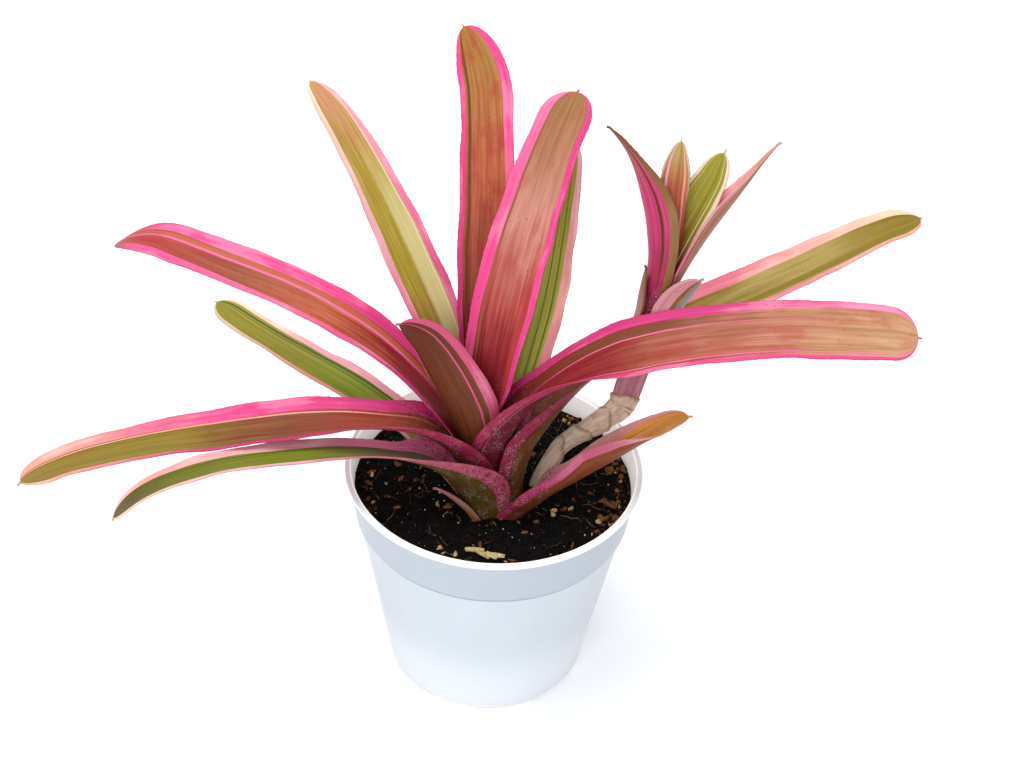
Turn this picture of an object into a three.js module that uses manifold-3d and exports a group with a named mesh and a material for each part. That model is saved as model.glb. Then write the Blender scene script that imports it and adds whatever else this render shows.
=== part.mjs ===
// A neoregelia bromeliad in a round nursery pot: one open rosette of strap leaves that clasp a short
// stem, a stolon with a young rosette at its end, the potting mix and the pot.
// Millimetres, +Z up. The origin is the middle of the pot's underside.

import * as THREE from 'three';
import { mergeVertices } from 'three/addons/utils/BufferGeometryUtils.js';
import Module from 'manifold-3d';

const wasm = await Module();
wasm.setup();

// ---------------------------------------------------------------- driving dimensions

const GAP = 0.3; // clearance between pieces that touch

const POT = {
  height: 100,
  rimRadius: 60, // outer edge of the flat lip
  lipWidth: 2.6,
  lipThickness: 1.4,
  collarTopRadius: 58.3, // outside of the wall under the lip
  collarFootRadius: 56.2, // outside of the collar at its step
  collarHeight: 21,
  stepInset: 1.4, // how far the body steps in under the collar
  footRadius: 42.5,
  footRingWidth: 3,
  channelDepth: 3, // the underside is raised between the foot ring and the middle disc
  discRadius: 14,
  discSlope: 1,
  wall: 1.3,
  drainHoles: 8,
  drainHoleRadius: 3.2,
  drainCircleRadius: 26,
  drainHoleSides: 12,
  footNotches: 4,
  footNotchWidth: 22,
  footNotchHeight: 1.8,
  sides: 42,
};

const SOIL = {
  top: 90.2,
  lumpHeight: 1.1,
  rimBand: 3, // the mix is level this near the wall
  rings: 4,
  crumbs: 22,
  crumbRadius: 2.2,
  crumbNearStem: 21, // crumbs stay this far from the rosette's middle
  crumbFromAxis: 50, // and within this radius of the pot's axis
  stick: { length: 12, radius: 0.9, x: 0, y: -38, turn: 20, sides: 6 },
  cupClearance: 1.5, // the rosette stands in a shallow round cup that clears its sheaths by this
  cutHeight: 30,
  seed: 7,
};

// The rosette grows a little off the pot's middle and leans.
const ROSETTE = { x: 2, y: -13, z: 84.5, lean: 13, leanTowards: 150 };

// The short stem stands in the mix. Under each sheath it has a ledge.
const STEM = { rootLength: 18, rootRadius: 4.5, ledgeWidth: 0.6, tip: 5, sides: 18 };

const LEAF = {
  thickness: 0.64,
  bodyRows: 12, // cross-sections up to the rounded end
  endRows: 4, // cross-sections in the rounded end
  across: 7, // points across one face, where a leaf states no other number
  tooth: 0.6, // height of a marginal tooth
  toothLean: 0.7, // how far forward in its row a tooth's tip lies
  toothFrom: 0.15, // the margins are toothed from this fraction of the length
  spine: 2.5, // length of the hooked point at the tip
  spineHook: 0.8, // how far it bends down
  spineThickness: 0.42,
  spineWidth: 0.8,
  neck: 0.86, // width of the blade's narrow foot, as a share of its full width
  flare: 0.3, // how much wider the sheath gets above its base
  sheathWidest: 0.12, // fraction of the length where the sheath is widest
  sheathEnd: 0.3, // fraction of the length where it has become the blade
  widest: 0.5, // fraction of the length where the blade is widest
  roundness: 2.2, // exponents of the rounded end's outline
  bluntness: 0.55,
  midribSteps: 200,
};

// Fractions of a leaf's length where its angles are given. Between them they change evenly.
const KNOTS = [0, 0.1, 0.25, 0.45, 0.65, 0.85, 1];

// The sheaths clasp each other in layers, the youngest leaf innermost.
const INNER_SHEATH_RADIUS = 2.2;
const SHEATH_PITCH = 1.1;

// One entry for each strap leaf, from the outermost to the youngest. Angles are in degrees.
// towards: compass direction that the leaf grows in, from +X to +Y. layer: which sheath it is, from
// the middle. start: height of its base on the stem. taper: share of the width that is left near the
// end. point: fraction of the length that is rounded off. rise: slope of the midrib. side: sideways
// bend in the blade. roll: turn about the midrib. cup: half of the angle that its cross-section
// spans. skew: how far the sheath is turned round the stem.
const LEAVES = [
  { name: 'leaf_01', colour: 'olive',
    towards: -16, layer: 10, start: 2, length: 77, width: 26, taper: 0.8, point: 0.2,
    rise: [50, 34, 26, 27, 31, 29, 18], side: [0, 8, 14, 16, 16, 16, 16],
    roll: [0, 0, -10, -18, -6, 0, 0], cup: [50, 54, 80, 102, 86, 26, 16],
    skew: [-25, -16, 0, 0, 0, 0, 0] },
  { name: 'leaf_02', colour: 'green',
    towards: 150, layer: 10, start: 2, length: 144, width: 16.5, taper: 0.85, point: 0.07,
    rise: [86, 64, 34, 23, 20, 24, 30], roll: [0, 0, -8, -14, -12, -6, 0],
    cup: [42, 44, 28, 18, 14, 12, 10], skew: [-25, -15, 0, 0, 0, 0, 0] },
  { name: 'leaf_03', colour: 'olive',
    towards: 198, layer: 9, start: 3, length: 156, width: 18, taper: 0.9, point: 0.08,
    rise: [90, 72, 30, 14, 9, -8, -38], cup: [90, 84, 44, 18, 14, 12, 10],
    skew: [20, 16, 5, 0, 0, 0, 0], across: 9 },
  { name: 'leaf_04', colour: 'olive',
    towards: 38, layer: 8, start: 4, length: 230, width: 21, taper: 0.8, point: 0.06,
    rise: [88, 52, 9, 3, 6, 9, -4], side: [0, 0, 0, -8, -14, -15, -15],
    roll: [0, 0, 12, 28, 32, 30, 20], cup: [104, 98, 54, 22, 14, 12, 10],
    skew: [-16, -14, -6, 0, 0, 0, 0], across: 9 },
  { name: 'leaf_05', colour: 'green',
    towards: 61, layer: 7, start: 6, length: 142, width: 16, taper: 0.7, point: 0.1,
    rise: [88, 82, 72, 64, 66, 66, 60], side: [0, -12, -18, -13, -6, -4, -2],
    cup: [46, 38, 24, 16, 14, 12, 8] },
  { name: 'leaf_06', colour: 'copper',
    towards: 186, layer: 6, start: 6, length: 199, width: 25, taper: 0.88, point: 0.06,
    rise: [90, 80, 20, 3, 2, -5, -6], side: [0, 0, 0, 0, 0, 0, 30], roll: [0, 0, -5, -13, -9, -6, 0],
    cup: [90, 84, 56, 28, 20, 14, 10], skew: [18, 14, 4, 0, 0, 0, 0], across: 9 },
  { name: 'leaf_07', colour: 'copper',
    towards: -4, layer: 5, start: 8, length: 194, width: 26, taper: 0.9, point: 0.05,
    rise: [86, 81, 40, 12, 2, -8, -12], roll: [0, 0, 10, 30, 28, 32, 26],
    cup: [112, 112, 84, 30, 14, 12, 10], skew: [-16, -14, -8, 0, 0, 0, 0], across: 9 },
  { name: 'leaf_08', colour: 'copper',
    towards: 161, layer: 4, start: 10, length: 196, width: 22, taper: 1.0, point: 0.1,
    rise: [90, 80, 57, 34, 20, 20, -20], roll: [0, 0, -5, -12, -12, -10, 0],
    cup: [66, 58, 30, 18, 14, 12, 8] },
  { name: 'leaf_09', colour: 'copper',
    towards: 245, layer: 3, start: 14, length: 85, width: 27, taper: 0.85, point: 0.12,
    rise: [88, 88, 86, 84, 82, 73, 54], side: [0, 0, -3, -6, -8, -16, -50],
    cup: [62, 62, 60, 50, 38, 28, 20], skew: [0, 2, 6, 6, 2, 0, 0] },
  { name: 'leaf_10', colour: 'olive',
    towards: 131, layer: 2, start: 14, length: 178, width: 21.5, taper: 0.65, point: 0.16,
    rise: [90, 87, 79, 65, 61, 46, 20], side: [0, 0, 1, 0, 0, -3, -5], cup: [70, 60, 32, 18, 14, 12, 8] },
  { name: 'leaf_11', colour: 'copper',
    towards: 98, layer: 1, start: 16, length: 177, width: 21, taper: 0.85, point: 0.12,
    rise: [90, 86, 83, 83, 84, 76, 56], side: [0, -4, -10, -12, -11, -7, 22],
    cup: [84, 74, 44, 20, 14, 12, 8] },
  { name: 'leaf_12', colour: 'copper',
    towards: 80, layer: 0, start: 18, length: 160, width: 24, taper: 0.8, point: 0.07,
    rise: [90, 92, 90, 84, 76, 56, 32], side: [0, -6, -15, -20, -22, -22, -20],
    cup: [85, 76, 44, 20, 14, 12, 8] },
];

// What is left of the oldest leaf: a dry strip at the foot of the rosette.
const DRIED_SCALE = {
  name: 'dried_scale',
  towards: 243, layer: 10.3, start: 2, length: 26, width: 5, taper: 0.7, point: 0.3,
  rise: [86, 82, 78, 72, 66, 60, 56], side: [0, -8, -18, -26, -30, -34, -36],
  cup: [8, 14, 20, 20, 20, 20, 20], across: 3,
};

// The stolon's middle line, from the foot of the stem out beside leaf_04 and up to the young rosette.
const STOLON_PATH = [
  [16.8, -2.2, 89], [19.4, -0.4, 96], [25.5, 1.2, 108], [32, 1.4, 115.3], [38, 0.8, 121],
  [44, 3, 124.6], [48.2, 5.4, 127.2], [49.4, 6.3, 129.3], [49.9, 6.8, 131.6],
];
const STOLON = {
  bractGap: 0.02, // share of a bract's length between its rim and the next one's foot
  baseRadius: 2.1,
  endRadius: 5.2,
  bracts: 5, // papery bracts that sheathe it, each one's rim over the foot of the next
  bractStep: 0.9, // how far a rim stands out
  bractSlant: 3, // how far a rim runs forward on one side
  rings: 3, // cross-sections in one bract
  sides: 10,
  holeRadius: 4.6,
  holeDepth: 3,
};

// The young rosette at the stolon's end stands on its own straight stem.
const YOUNG = { x: 57, y: 9.5, z: 169, lean: 11, leanTowards: 20 };
const YOUNG_STEM = { length: 37.2, footRadius: 5.6, ledgeWidth: 0.6, tip: 4, sides: 16 };
const YOUNG_INNER_SHEATH_RADIUS = 1.7;
const YOUNG_LEAVES = [
  { name: 'young_bract_1', colour: 'paleBract',
    towards: -64, layer: 5, start: -10, length: 34, width: 15, taper: 0.9, point: 0.4,
    rise: [88, 87, 87, 86, 82, 76, 66], side: [0, 2, 5, 10, 16, 20, 22],
    cup: [70, 66, 60, 54, 46, 38, 30] },
  { name: 'young_bract_2', colour: 'dryBract',
    towards: 194, layer: 4, start: -8, length: 28, width: 8, taper: 0.4, point: 0.3,
    rise: [90, 87, 85, 84, 84, 84, 80], cup: [38, 36, 32, 28, 26, 24, 20], across: 5 },
  { name: 'young_leaf_1', colour: 'pink',
    towards: 232, layer: 3, start: -4, length: 82, width: 17.5, taper: 0.15, point: 0.2,
    rise: [90, 89, 87, 85, 80, 72, 56], side: [0, 0, -6, -20, -34, -46, -56],
    cup: [58, 58, 57, 54, 50, 44, 30], skew: [-6, -10, -11, -5, 0, 0, 0] },
  { name: 'young_leaf_2', colour: 'pink',
    towards: -22, layer: 2, start: -1, length: 82, width: 18, taper: 0.2, point: 0.25,
    rise: [90, 87, 80, 76, 73, 75, 68], side: [0, 0, 0, 3, 6, 6, 2], roll: [0, 0, -5, 0, 8, 16, 10],
    cup: [44, 48, 60, 72, 80, 60, 30], skew: [8, 16, 23, 15, 4, 0, 0] },
  { name: 'young_leaf_3', colour: 'copper',
    towards: 151, layer: 0, start: 3, length: 66, width: 11, taper: 1.0, point: 0.3,
    rise: [90, 89, 86, 80, 76, 80, 86], roll: [0, 0, -16, -40, -55, -60, -60],
    cup: [45, 43, 40, 34, 28, 22, 16], across: 5 },
  { name: 'young_leaf_4', colour: 'green',
    towards: 40, layer: 1, start: 0, length: 67, width: 17, taper: 1.05, point: 0.32,
    rise: [90, 88, 84, 81, 80, 82, 80], side: [0, 0, 0, 0, 1, 3, 5], cup: [45, 45, 44, 38, 32, 26, 20],
    skew: [14, 22, 24, 16, 8, 0, 0] },
];

// ---------------------------------------------------------------- colours

const COLOURS = {
  pot: 0xf2f4f8,
  soil: 0x241a14,
  stem: 0x8a6f52,
  stolon: 0xb39a86,
  youngStem: 0x96646a,
  copper: 0xb4624a,
  olive: 0x9a8c3e,
  green: 0x70862c,
  pink: 0xc8507a,
  paleBract: 0xd8a8ac,
  dryBract: 0x9c7c70,
};

const LEAF_ROUGHNESS = 0.42;

function material(colour, roughness) {
  return new THREE.MeshStandardMaterial({ color: COLOURS[colour], roughness, metalness: 0 });
}

// ---------------------------------------------------------------- helpers

const { degToRad, lerp, smoothstep } = THREE.MathUtils;

// A small seeded generator, so that every build draws the same numbers from 0 to 1.
function seededRandom(seed) {
  let state = seed;
  return () => {
    state = (state * 1664525 + 1013904223) % 4294967296;
    return state / 4294967296;
  };
}

function toSolid(geometry) {
  const bare = geometry.clone();
  bare.deleteAttribute('normal');
  bare.deleteAttribute('uv');
  const merged = mergeVertices(bare, 1e-4);
  return new wasm.Manifold(new wasm.Mesh({
    numProp: 3,
    vertProperties: new Float32Array(merged.getAttribute('position').array),
    triVerts: new Uint32Array(merged.index.array),
  }));
}

function toGeometry(solid) {
  const mesh = solid.getMesh();
  const geometry = new THREE.BufferGeometry();
  geometry.setAttribute('position', new THREE.Float32BufferAttribute(mesh.vertProperties, 3));
  geometry.setIndex(Array.from(mesh.triVerts));
  geometry.computeVertexNormals();
  return geometry;
}

// A body of revolution about Z from (radius, height) pairs that start and end on the axis.
function lathe(profile, sides) {
  const points = profile.map(([radius, height]) => new THREE.Vector2(radius, height));
  return new THREE.LatheGeometry(points, sides).rotateX(Math.PI / 2);
}

function uprightCylinder(radius, bottom, top, sides) {
  return new THREE.CylinderGeometry(radius, radius, top - bottom, sides)
    .rotateX(Math.PI / 2)
    .translate(0, 0, (top + bottom) / 2);
}

// The value at fraction s of a list that is given at KNOTS. A plain number stays as it is.
function along(values, s) {
  if (typeof values === 'number') return values;
  const last = KNOTS.length - 2;
  const i = Math.min(last, KNOTS.findLastIndex((knot) => knot <= s));
  return lerp(values[i], values[i + 1], (s - KNOTS[i]) / (KNOTS[i + 1] - KNOTS[i]));
}

// ---------------------------------------------------------------- leaves

// Unit vectors of a leaf at fraction s: along the midrib, across the blade, and out of its upper face.
function leafFrame(leaf, s) {
  const towards = degToRad(leaf.towards);
  const rise = degToRad(along(leaf.rise, s));
  const side = degToRad(along(leaf.side ?? 0, s));
  const roll = degToRad(along(leaf.roll ?? 0, s));
  const out = new THREE.Vector3(Math.cos(towards), Math.sin(towards), 0);
  const left = new THREE.Vector3(-Math.sin(towards), Math.cos(towards), 0);
  const up = new THREE.Vector3(0, 0, 1);
  const mix = (a, b, angle) =>
    a.clone().multiplyScalar(Math.cos(angle)).addScaledVector(b, Math.sin(angle));
  const forward = mix(out, up, rise);
  const face = mix(up, out, -rise);
  const tangent = mix(forward, left, side);
  const level = mix(left, forward, -side);
  return { tangent, across: mix(level, face, roll), normal: mix(face, level, -roll) };
}

// Width of the flattened leaf: a wide sheath, a slightly narrower foot, a strap and a rounded end.
function leafWidth(leaf, s) {
  const base = 2 * leaf.sheathRadius * degToRad(along(leaf.cup, 0));
  const sheath = base * (1 + LEAF.flare * smoothstep(s, 0, LEAF.sheathWidest));
  const foot = LEAF.neck * leaf.width;
  const strap = sheath
    + (foot - sheath) * smoothstep(s, LEAF.sheathWidest, LEAF.sheathEnd)
    + (leaf.width - foot) * smoothstep(s, LEAF.sheathEnd, LEAF.widest)
    - leaf.width * (1 - leaf.taper) * smoothstep(s, LEAF.widest, 1);
  const t = Math.max(0, (s - (1 - leaf.point)) / leaf.point);
  const end = Math.pow(Math.max(0, 1 - Math.pow(t, LEAF.roundness)), LEAF.bluntness);
  return Math.max(LEAF.spineWidth, strap * end);
}

// Fractions of the length where the leaf has a cross-section, closer together in its rounded end.
function leafRows(leaf) {
  const rows = [];
  for (let i = 0; i < LEAF.bodyRows; i++) rows.push((1 - leaf.point) * (i / LEAF.bodyRows));
  for (let i = 0; i <= LEAF.endRows; i++) {
    rows.push(1 - leaf.point * (1 - Math.sin((Math.PI / 2) * (i / LEAF.endRows))));
  }
  return rows;
}

// Points of the midrib at the given fractions, from small steps along its changing direction.
function midrib(leaf, rows) {
  const steps = LEAF.midribSteps;
  const point = new THREE.Vector3(
    leaf.sheathRadius * Math.cos(degToRad(leaf.towards)),
    leaf.sheathRadius * Math.sin(degToRad(leaf.towards)),
    leaf.start,
  );
  const line = [point.clone()];
  for (let i = 0; i < steps; i++) {
    point.addScaledVector(leafFrame(leaf, (i + 0.5) / steps).tangent, leaf.length / steps);
    line.push(point.clone());
  }
  return rows.map((s) => {
    const i = Math.min(steps - 1, Math.floor(s * steps));
    return line[i].clone().lerp(line[i + 1], s * steps - i);
  });
}

// One cross-section: points of the upper and the lower face, on an arc round the leaf's hollow.
function leafSection(leaf, s, middle, width) {
  const { across, normal } = leafFrame(leaf, s);
  const cup = degToRad(along(leaf.cup, s));
  const skew = degToRad(along(leaf.skew ?? 0, s));
  const radius = width / (2 * cup);
  const upper = [];
  const lower = [];
  for (let j = 0; j < leaf.across; j++) {
    const angle = skew + cup * (2 * j / (leaf.across - 1) - 1);
    const surface = middle.clone()
      .addScaledVector(across, radius * Math.sin(angle))
      .addScaledVector(normal, radius * (1 - Math.cos(angle)));
    const outward = normal.clone().multiplyScalar(Math.cos(angle))
      .addScaledVector(across, -Math.sin(angle));
    upper.push(surface.clone().addScaledVector(outward, LEAF.thickness / 2));
    lower.push(surface.clone().addScaledVector(outward, -LEAF.thickness / 2));
  }
  return { upper, lower, across };
}

// The hooked point past the last cross-section.
function leafSpine(leaf, middle) {
  const { tangent, across, normal } = leafFrame(leaf, 1);
  const end = middle.clone().addScaledVector(tangent, LEAF.spine).addScaledVector(normal, -LEAF.spineHook);
  const upper = [];
  const lower = [];
  for (let j = 0; j < leaf.across; j++) {
    const offset = LEAF.spineWidth / 2 * (2 * j / (leaf.across - 1) - 1);
    const surface = end.clone().addScaledVector(across, offset);
    upper.push(surface.clone().addScaledVector(normal, LEAF.spineThickness / 2));
    lower.push(surface.clone().addScaledVector(normal, -LEAF.spineThickness / 2));
  }
  return { upper, lower, across };
}

// A closed body from cross-sections. Both faces are split alike. Where a row has a tooth, the margin
// after it rises to one forward-pointing tip.
function bladeGeometry(sections, hasTooth) {
  const count = sections[0].upper.length;
  const points = sections.flatMap(({ upper, lower }) => [...upper, ...lower]);
  const index = [];
  const top = (i, j) => i * 2 * count + j;
  const bottom = (i, j) => top(i, j) + count;
  for (let i = 0; i < sections.length - 1; i++) {
    for (let j = 0; j < count - 1; j++) {
      index.push(top(i, j), top(i + 1, j), top(i + 1, j + 1));
      index.push(top(i, j), top(i + 1, j + 1), top(i, j + 1));
      index.push(bottom(i, j), bottom(i + 1, j + 1), bottom(i + 1, j));
      index.push(bottom(i, j), bottom(i, j + 1), bottom(i + 1, j + 1));
    }
    for (const [j, sign] of [[0, -1], [count - 1, 1]]) {
      const loop = [top(i, j), bottom(i, j), bottom(i + 1, j), top(i + 1, j)];
      if (sign > 0) loop.reverse();
      if (hasTooth[i]) {
        const tip = points[loop[0]].clone().add(points[loop[1]]).add(points[loop[2]]).add(points[loop[3]])
          .multiplyScalar(0.25)
          .lerp(points[top(i + 1, j)], LEAF.toothLean)
          .addScaledVector(sections[i].across, sign * LEAF.tooth);
        points.push(tip);
        loop.forEach((corner, k) => index.push(corner, loop[(k + 1) % 4], points.length - 1));
      } else {
        index.push(loop[0], loop[1], loop[2], loop[0], loop[2], loop[3]);
      }
    }
  }
  const last = sections.length - 1;
  for (let j = 0; j < count - 1; j++) {
    index.push(top(0, j), top(0, j + 1), bottom(0, j + 1), top(0, j), bottom(0, j + 1), bottom(0, j));
    index.push(top(last, j), bottom(last, j), bottom(last, j + 1));
    index.push(top(last, j), bottom(last, j + 1), top(last, j + 1));
  }
  const geometry = new THREE.BufferGeometry().setFromPoints(points);
  geometry.setIndex(index);
  geometry.computeVertexNormals();
  return geometry;
}

function leafGeometry(entry, sheathRadius) {
  const leaf = { across: LEAF.across, ...entry, sheathRadius };
  const rows = leafRows(leaf);
  const middles = midrib(leaf, rows);
  const sections = rows.map((s, i) => leafSection(leaf, s, middles[i], leafWidth(leaf, s)));
  const hasTooth = rows.map((s) => s > LEAF.toothFrom && s < 1 - leaf.point / 2);
  sections.push(leafSpine(leaf, middles.at(-1)));
  return bladeGeometry(sections, hasTooth);
}

// ---------------------------------------------------------------- stems and stolon

// Radius and height pairs of the ledges that the sheaths stand on, from the outermost inward.
function ledges(leaves, innerRadius, ledgeWidth) {
  const reach = LEAF.thickness / 2 + GAP;
  const starts = new Map();
  for (const { layer, start } of leaves) starts.set(layer, Math.min(start, starts.get(layer) ?? start));
  const layers = [...starts.keys()].sort((a, b) => b - a);
  const profile = [];
  layers.forEach((layer, i) => {
    const radius = innerRadius + SHEATH_PITCH * layer;
    const height = starts.get(layer) - GAP;
    if (i === 0) profile.push([radius + ledgeWidth, height]);
    profile.push([radius - reach, height]);
    const next = layers[i + 1];
    if (next !== undefined) profile.push([radius - reach, starts.get(next) - GAP]);
  });
  return profile;
}

function stemGeometry() {
  const steps = ledges(LEAVES, INNER_SHEATH_RADIUS, STEM.ledgeWidth);
  const top = steps.at(-1)[1] + STEM.tip;
  return lathe([
    [0, -STEM.rootLength], [STEM.rootRadius, -STEM.rootLength], [STEM.rootRadius, 0], [steps[0][0], 0],
    ...steps, [steps.at(-1)[0] / 2, top - 1], [0, top],
  ], STEM.sides);
}

function youngStemGeometry() {
  const steps = ledges(YOUNG_LEAVES, YOUNG_INNER_SHEATH_RADIUS, YOUNG_STEM.ledgeWidth);
  const top = steps.at(-1)[1] + YOUNG_STEM.tip;
  return lathe([
    [0, -YOUNG_STEM.length], [YOUNG_STEM.footRadius, -YOUNG_STEM.length], ...steps,
    [steps.at(-1)[0] / 2, top - 1], [0, top],
  ], YOUNG_STEM.sides);
}

// The stolon in its bracts: every bract widens to a slanted rim and drops back to the next one's foot.
function stolonGeometry() {
  const curve = new THREE.CatmullRomCurve3(STOLON_PATH.map((point) => new THREE.Vector3(...point)));
  const towards = degToRad(YOUNG.leanTowards);
  const level = new THREE.Vector3(-Math.sin(towards), Math.cos(towards), 0);
  const rings = [];
  for (let k = 0; k < STOLON.bracts; k++) {
    for (let i = 0; i <= STOLON.rings; i++) {
      const share = i / STOLON.rings;
      const s = (k + STOLON.bractGap + (1 - 2 * STOLON.bractGap) * share) / STOLON.bracts;
      const bare = lerp(STOLON.baseRadius, STOLON.endRadius, s);
      const rim = k === STOLON.bracts - 1 ? 0 : share;
      const lastSlant = k === STOLON.bracts - 1 ? 1 - share : 1;
      const slant = STOLON.bractSlant * (k === 0 ? share : lastSlant);
      rings.push({ s, radius: bare + STOLON.bractStep * rim, slant });
    }
  }
  const points = [];
  rings.forEach(({ s, radius, slant }) => {
    const middle = curve.getPointAt(s);
    const tangent = curve.getTangentAt(s);
    const across = level.clone().addScaledVector(tangent, -level.dot(tangent)).normalize();
    const upper = new THREE.Vector3().crossVectors(across, tangent).negate();
    for (let j = 0; j < STOLON.sides; j++) {
      const angle = (2 * Math.PI * j) / STOLON.sides;
      points.push(middle.clone()
        .addScaledVector(across, radius * Math.cos(angle))
        .addScaledVector(upper, radius * Math.sin(angle))
        .addScaledVector(tangent, slant * Math.sin(angle)));
    }
  });
  const index = [];
  const corner = (ring, j) => ring * STOLON.sides + (j % STOLON.sides);
  for (let ring = 0; ring < rings.length - 1; ring++) {
    for (let j = 0; j < STOLON.sides; j++) {
      index.push(corner(ring, j), corner(ring, j + 1), corner(ring + 1, j + 1));
      index.push(corner(ring, j), corner(ring + 1, j + 1), corner(ring + 1, j));
    }
  }
  const last = rings.length - 1;
  for (let j = 1; j < STOLON.sides - 1; j++) {
    index.push(corner(0, 0), corner(0, j + 1), corner(0, j));
    index.push(corner(last, 0), corner(last, j), corner(last, j + 1));
  }
  const geometry = new THREE.BufferGeometry().setFromPoints(points);
  geometry.setIndex(index);
  geometry.computeVertexNormals();
  return geometry;
}

// ---------------------------------------------------------------- pot and mix

const COLLAR_FOOT = POT.height - POT.collarHeight;
const STEP_FOOT = COLLAR_FOOT - POT.stepInset;
const FLOOR = POT.channelDepth + POT.wall;
const CUT_PAST = 1; // a cutter reaches this far past what it cuts

function potGeometry() {
  const inner = (radius) => radius - POT.wall;
  const stepRadius = POT.collarFootRadius - POT.stepInset;
  const body = toSolid(lathe([
    [0, 0], [POT.discRadius, 0], [POT.discRadius + POT.discSlope, POT.channelDepth],
    [POT.footRadius - POT.footRingWidth, POT.channelDepth], [POT.footRadius - POT.footRingWidth, 0],
    [POT.footRadius, 0], [stepRadius, STEP_FOOT], [POT.collarFootRadius, COLLAR_FOOT],
    [POT.collarTopRadius, POT.height - POT.lipThickness], [POT.rimRadius, POT.height - POT.lipThickness],
    [POT.rimRadius, POT.height], [POT.rimRadius - POT.lipWidth, POT.height],
    [inner(POT.collarFootRadius), COLLAR_FOOT], [inner(stepRadius), STEP_FOOT],
    [inner(POT.footRadius), FLOOR], [0, FLOOR],
  ], POT.sides));
  const cuts = [];
  for (let i = 0; i < POT.drainHoles; i++) {
    const angle = (2 * Math.PI * (i + 0.5)) / POT.drainHoles;
    const hole = uprightCylinder(POT.drainHoleRadius, -CUT_PAST, FLOOR + CUT_PAST, POT.drainHoleSides)
      .translate(POT.drainCircleRadius * Math.cos(angle), POT.drainCircleRadius * Math.sin(angle), 0);
    cuts.push(toSolid(hole));
  }
  for (let i = 0; i < POT.footNotches; i++) {
    const notch = new THREE.BoxGeometry(2 * POT.footRingWidth, POT.footNotchWidth, 2 * POT.footNotchHeight)
      .translate(POT.footRadius - POT.footRingWidth / 2, 0, 0)
      .rotateZ((2 * Math.PI * (i + 0.5)) / POT.footNotches);
    cuts.push(toSolid(notch));
  }
  return toGeometry(body.subtract(wasm.Manifold.union(cuts)));
}

// The inside of the pot's wall at a height, less the clearance.
function mixRadius(height) {
  const stepRadius = POT.collarFootRadius - POT.stepInset;
  const topRadius = POT.rimRadius - POT.lipWidth + POT.wall;
  const wallRadius = height > COLLAR_FOOT
    ? lerp(POT.collarFootRadius, topRadius, (height - COLLAR_FOOT) / POT.collarHeight)
    : lerp(POT.footRadius, stepRadius, (height - FLOOR) / (STEP_FOOT - FLOOR));
  return wallRadius - POT.wall - GAP;
}

function crumbSolid(random) {
  const angle = 2 * Math.PI * random();
  const distance = SOIL.crumbFromAxis * Math.sqrt(random());
  const x = distance * Math.cos(angle);
  const y = distance * Math.sin(angle);
  const size = SOIL.crumbRadius * (0.5 + 0.5 * random());
  const crumb = new THREE.IcosahedronGeometry(size, 0)
    .scale(1, 0.5 + 0.5 * random(), 0.6 + 0.4 * random())
    .rotateX(random())
    .rotateZ(6 * random())
    .translate(x, y, SOIL.top - SOIL.lumpHeight / 2);
  return Math.hypot(x - ROSETTE.x, y - ROSETTE.y) > SOIL.crumbNearStem ? toSolid(crumb) : null;
}

function soilGeometry() {
  const random = seededRandom(SOIL.seed);
  const bottom = FLOOR + GAP;
  const sides = [
    [0, bottom], [mixRadius(bottom), bottom], [mixRadius(STEP_FOOT), STEP_FOOT],
    [mixRadius(COLLAR_FOOT + GAP), COLLAR_FOOT + GAP], [mixRadius(SOIL.top), SOIL.top],
  ];
  const rings = [];
  for (let i = SOIL.rings; i >= 0; i--) {
    rings.push([(mixRadius(SOIL.top) - SOIL.rimBand) * (i / SOIL.rings), SOIL.top]);
  }
  const geometry = lathe([...sides, ...rings], POT.sides);
  const position = geometry.getAttribute('position');
  const perColumn = sides.length + rings.length;
  const lumps = Array.from({ length: perColumn * POT.sides }, () => SOIL.lumpHeight * (2 * random() - 1));
  for (let i = 0; i < position.count; i++) {
    const row = i % perColumn;
    const isLumpy = row >= sides.length && row < perColumn - 1;
    if (isLumpy) position.setZ(i, position.getZ(i) + lumps[i % lumps.length]);
  }
  const crumbs = [];
  while (crumbs.length < SOIL.crumbs) {
    const crumb = crumbSolid(random);
    if (crumb) crumbs.push(crumb);
  }
  const stick = new THREE.CylinderGeometry(
    SOIL.stick.radius, SOIL.stick.radius, SOIL.stick.length, SOIL.stick.sides)
    .rotateZ(Math.PI / 2)
    .rotateZ(degToRad(SOIL.stick.turn))
    .translate(SOIL.stick.x, SOIL.stick.y, SOIL.top + SOIL.stick.radius / 2);
  const ledge = INNER_SHEATH_RADIUS + SHEATH_PITCH * LEAVES[0].layer + STEM.ledgeWidth;
  const cup = uprightCylinder(ledge + SOIL.cupClearance, -GAP, SOIL.cutHeight, POT.sides)
    .applyMatrix4(rosette.matrix);
  const rootHole = uprightCylinder(STEM.rootRadius + 2 * GAP, -STEM.rootLength - GAP, 0, STEM.sides)
    .applyMatrix4(rosette.matrix);
  const [stolonX, stolonY, stolonZ] = STOLON_PATH[0];
  const stolonHole = uprightCylinder(
    STOLON.holeRadius, stolonZ - STOLON.holeDepth, stolonZ + SOIL.cutHeight, STOLON.sides)
    .translate(stolonX, stolonY, 0);
  return toGeometry(wasm.Manifold.union([toSolid(geometry), ...crumbs, toSolid(stick)])
    .subtract(wasm.Manifold.union([toSolid(cup), toSolid(rootHole), toSolid(stolonHole)])));
}

// ---------------------------------------------------------------- assembly

const plant = new THREE.Group();

function addPiece(parent, name, geometry, material) {
  const mesh = new THREE.Mesh(geometry, material);
  mesh.name = name;
  parent.add(mesh);
  return mesh;
}

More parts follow.
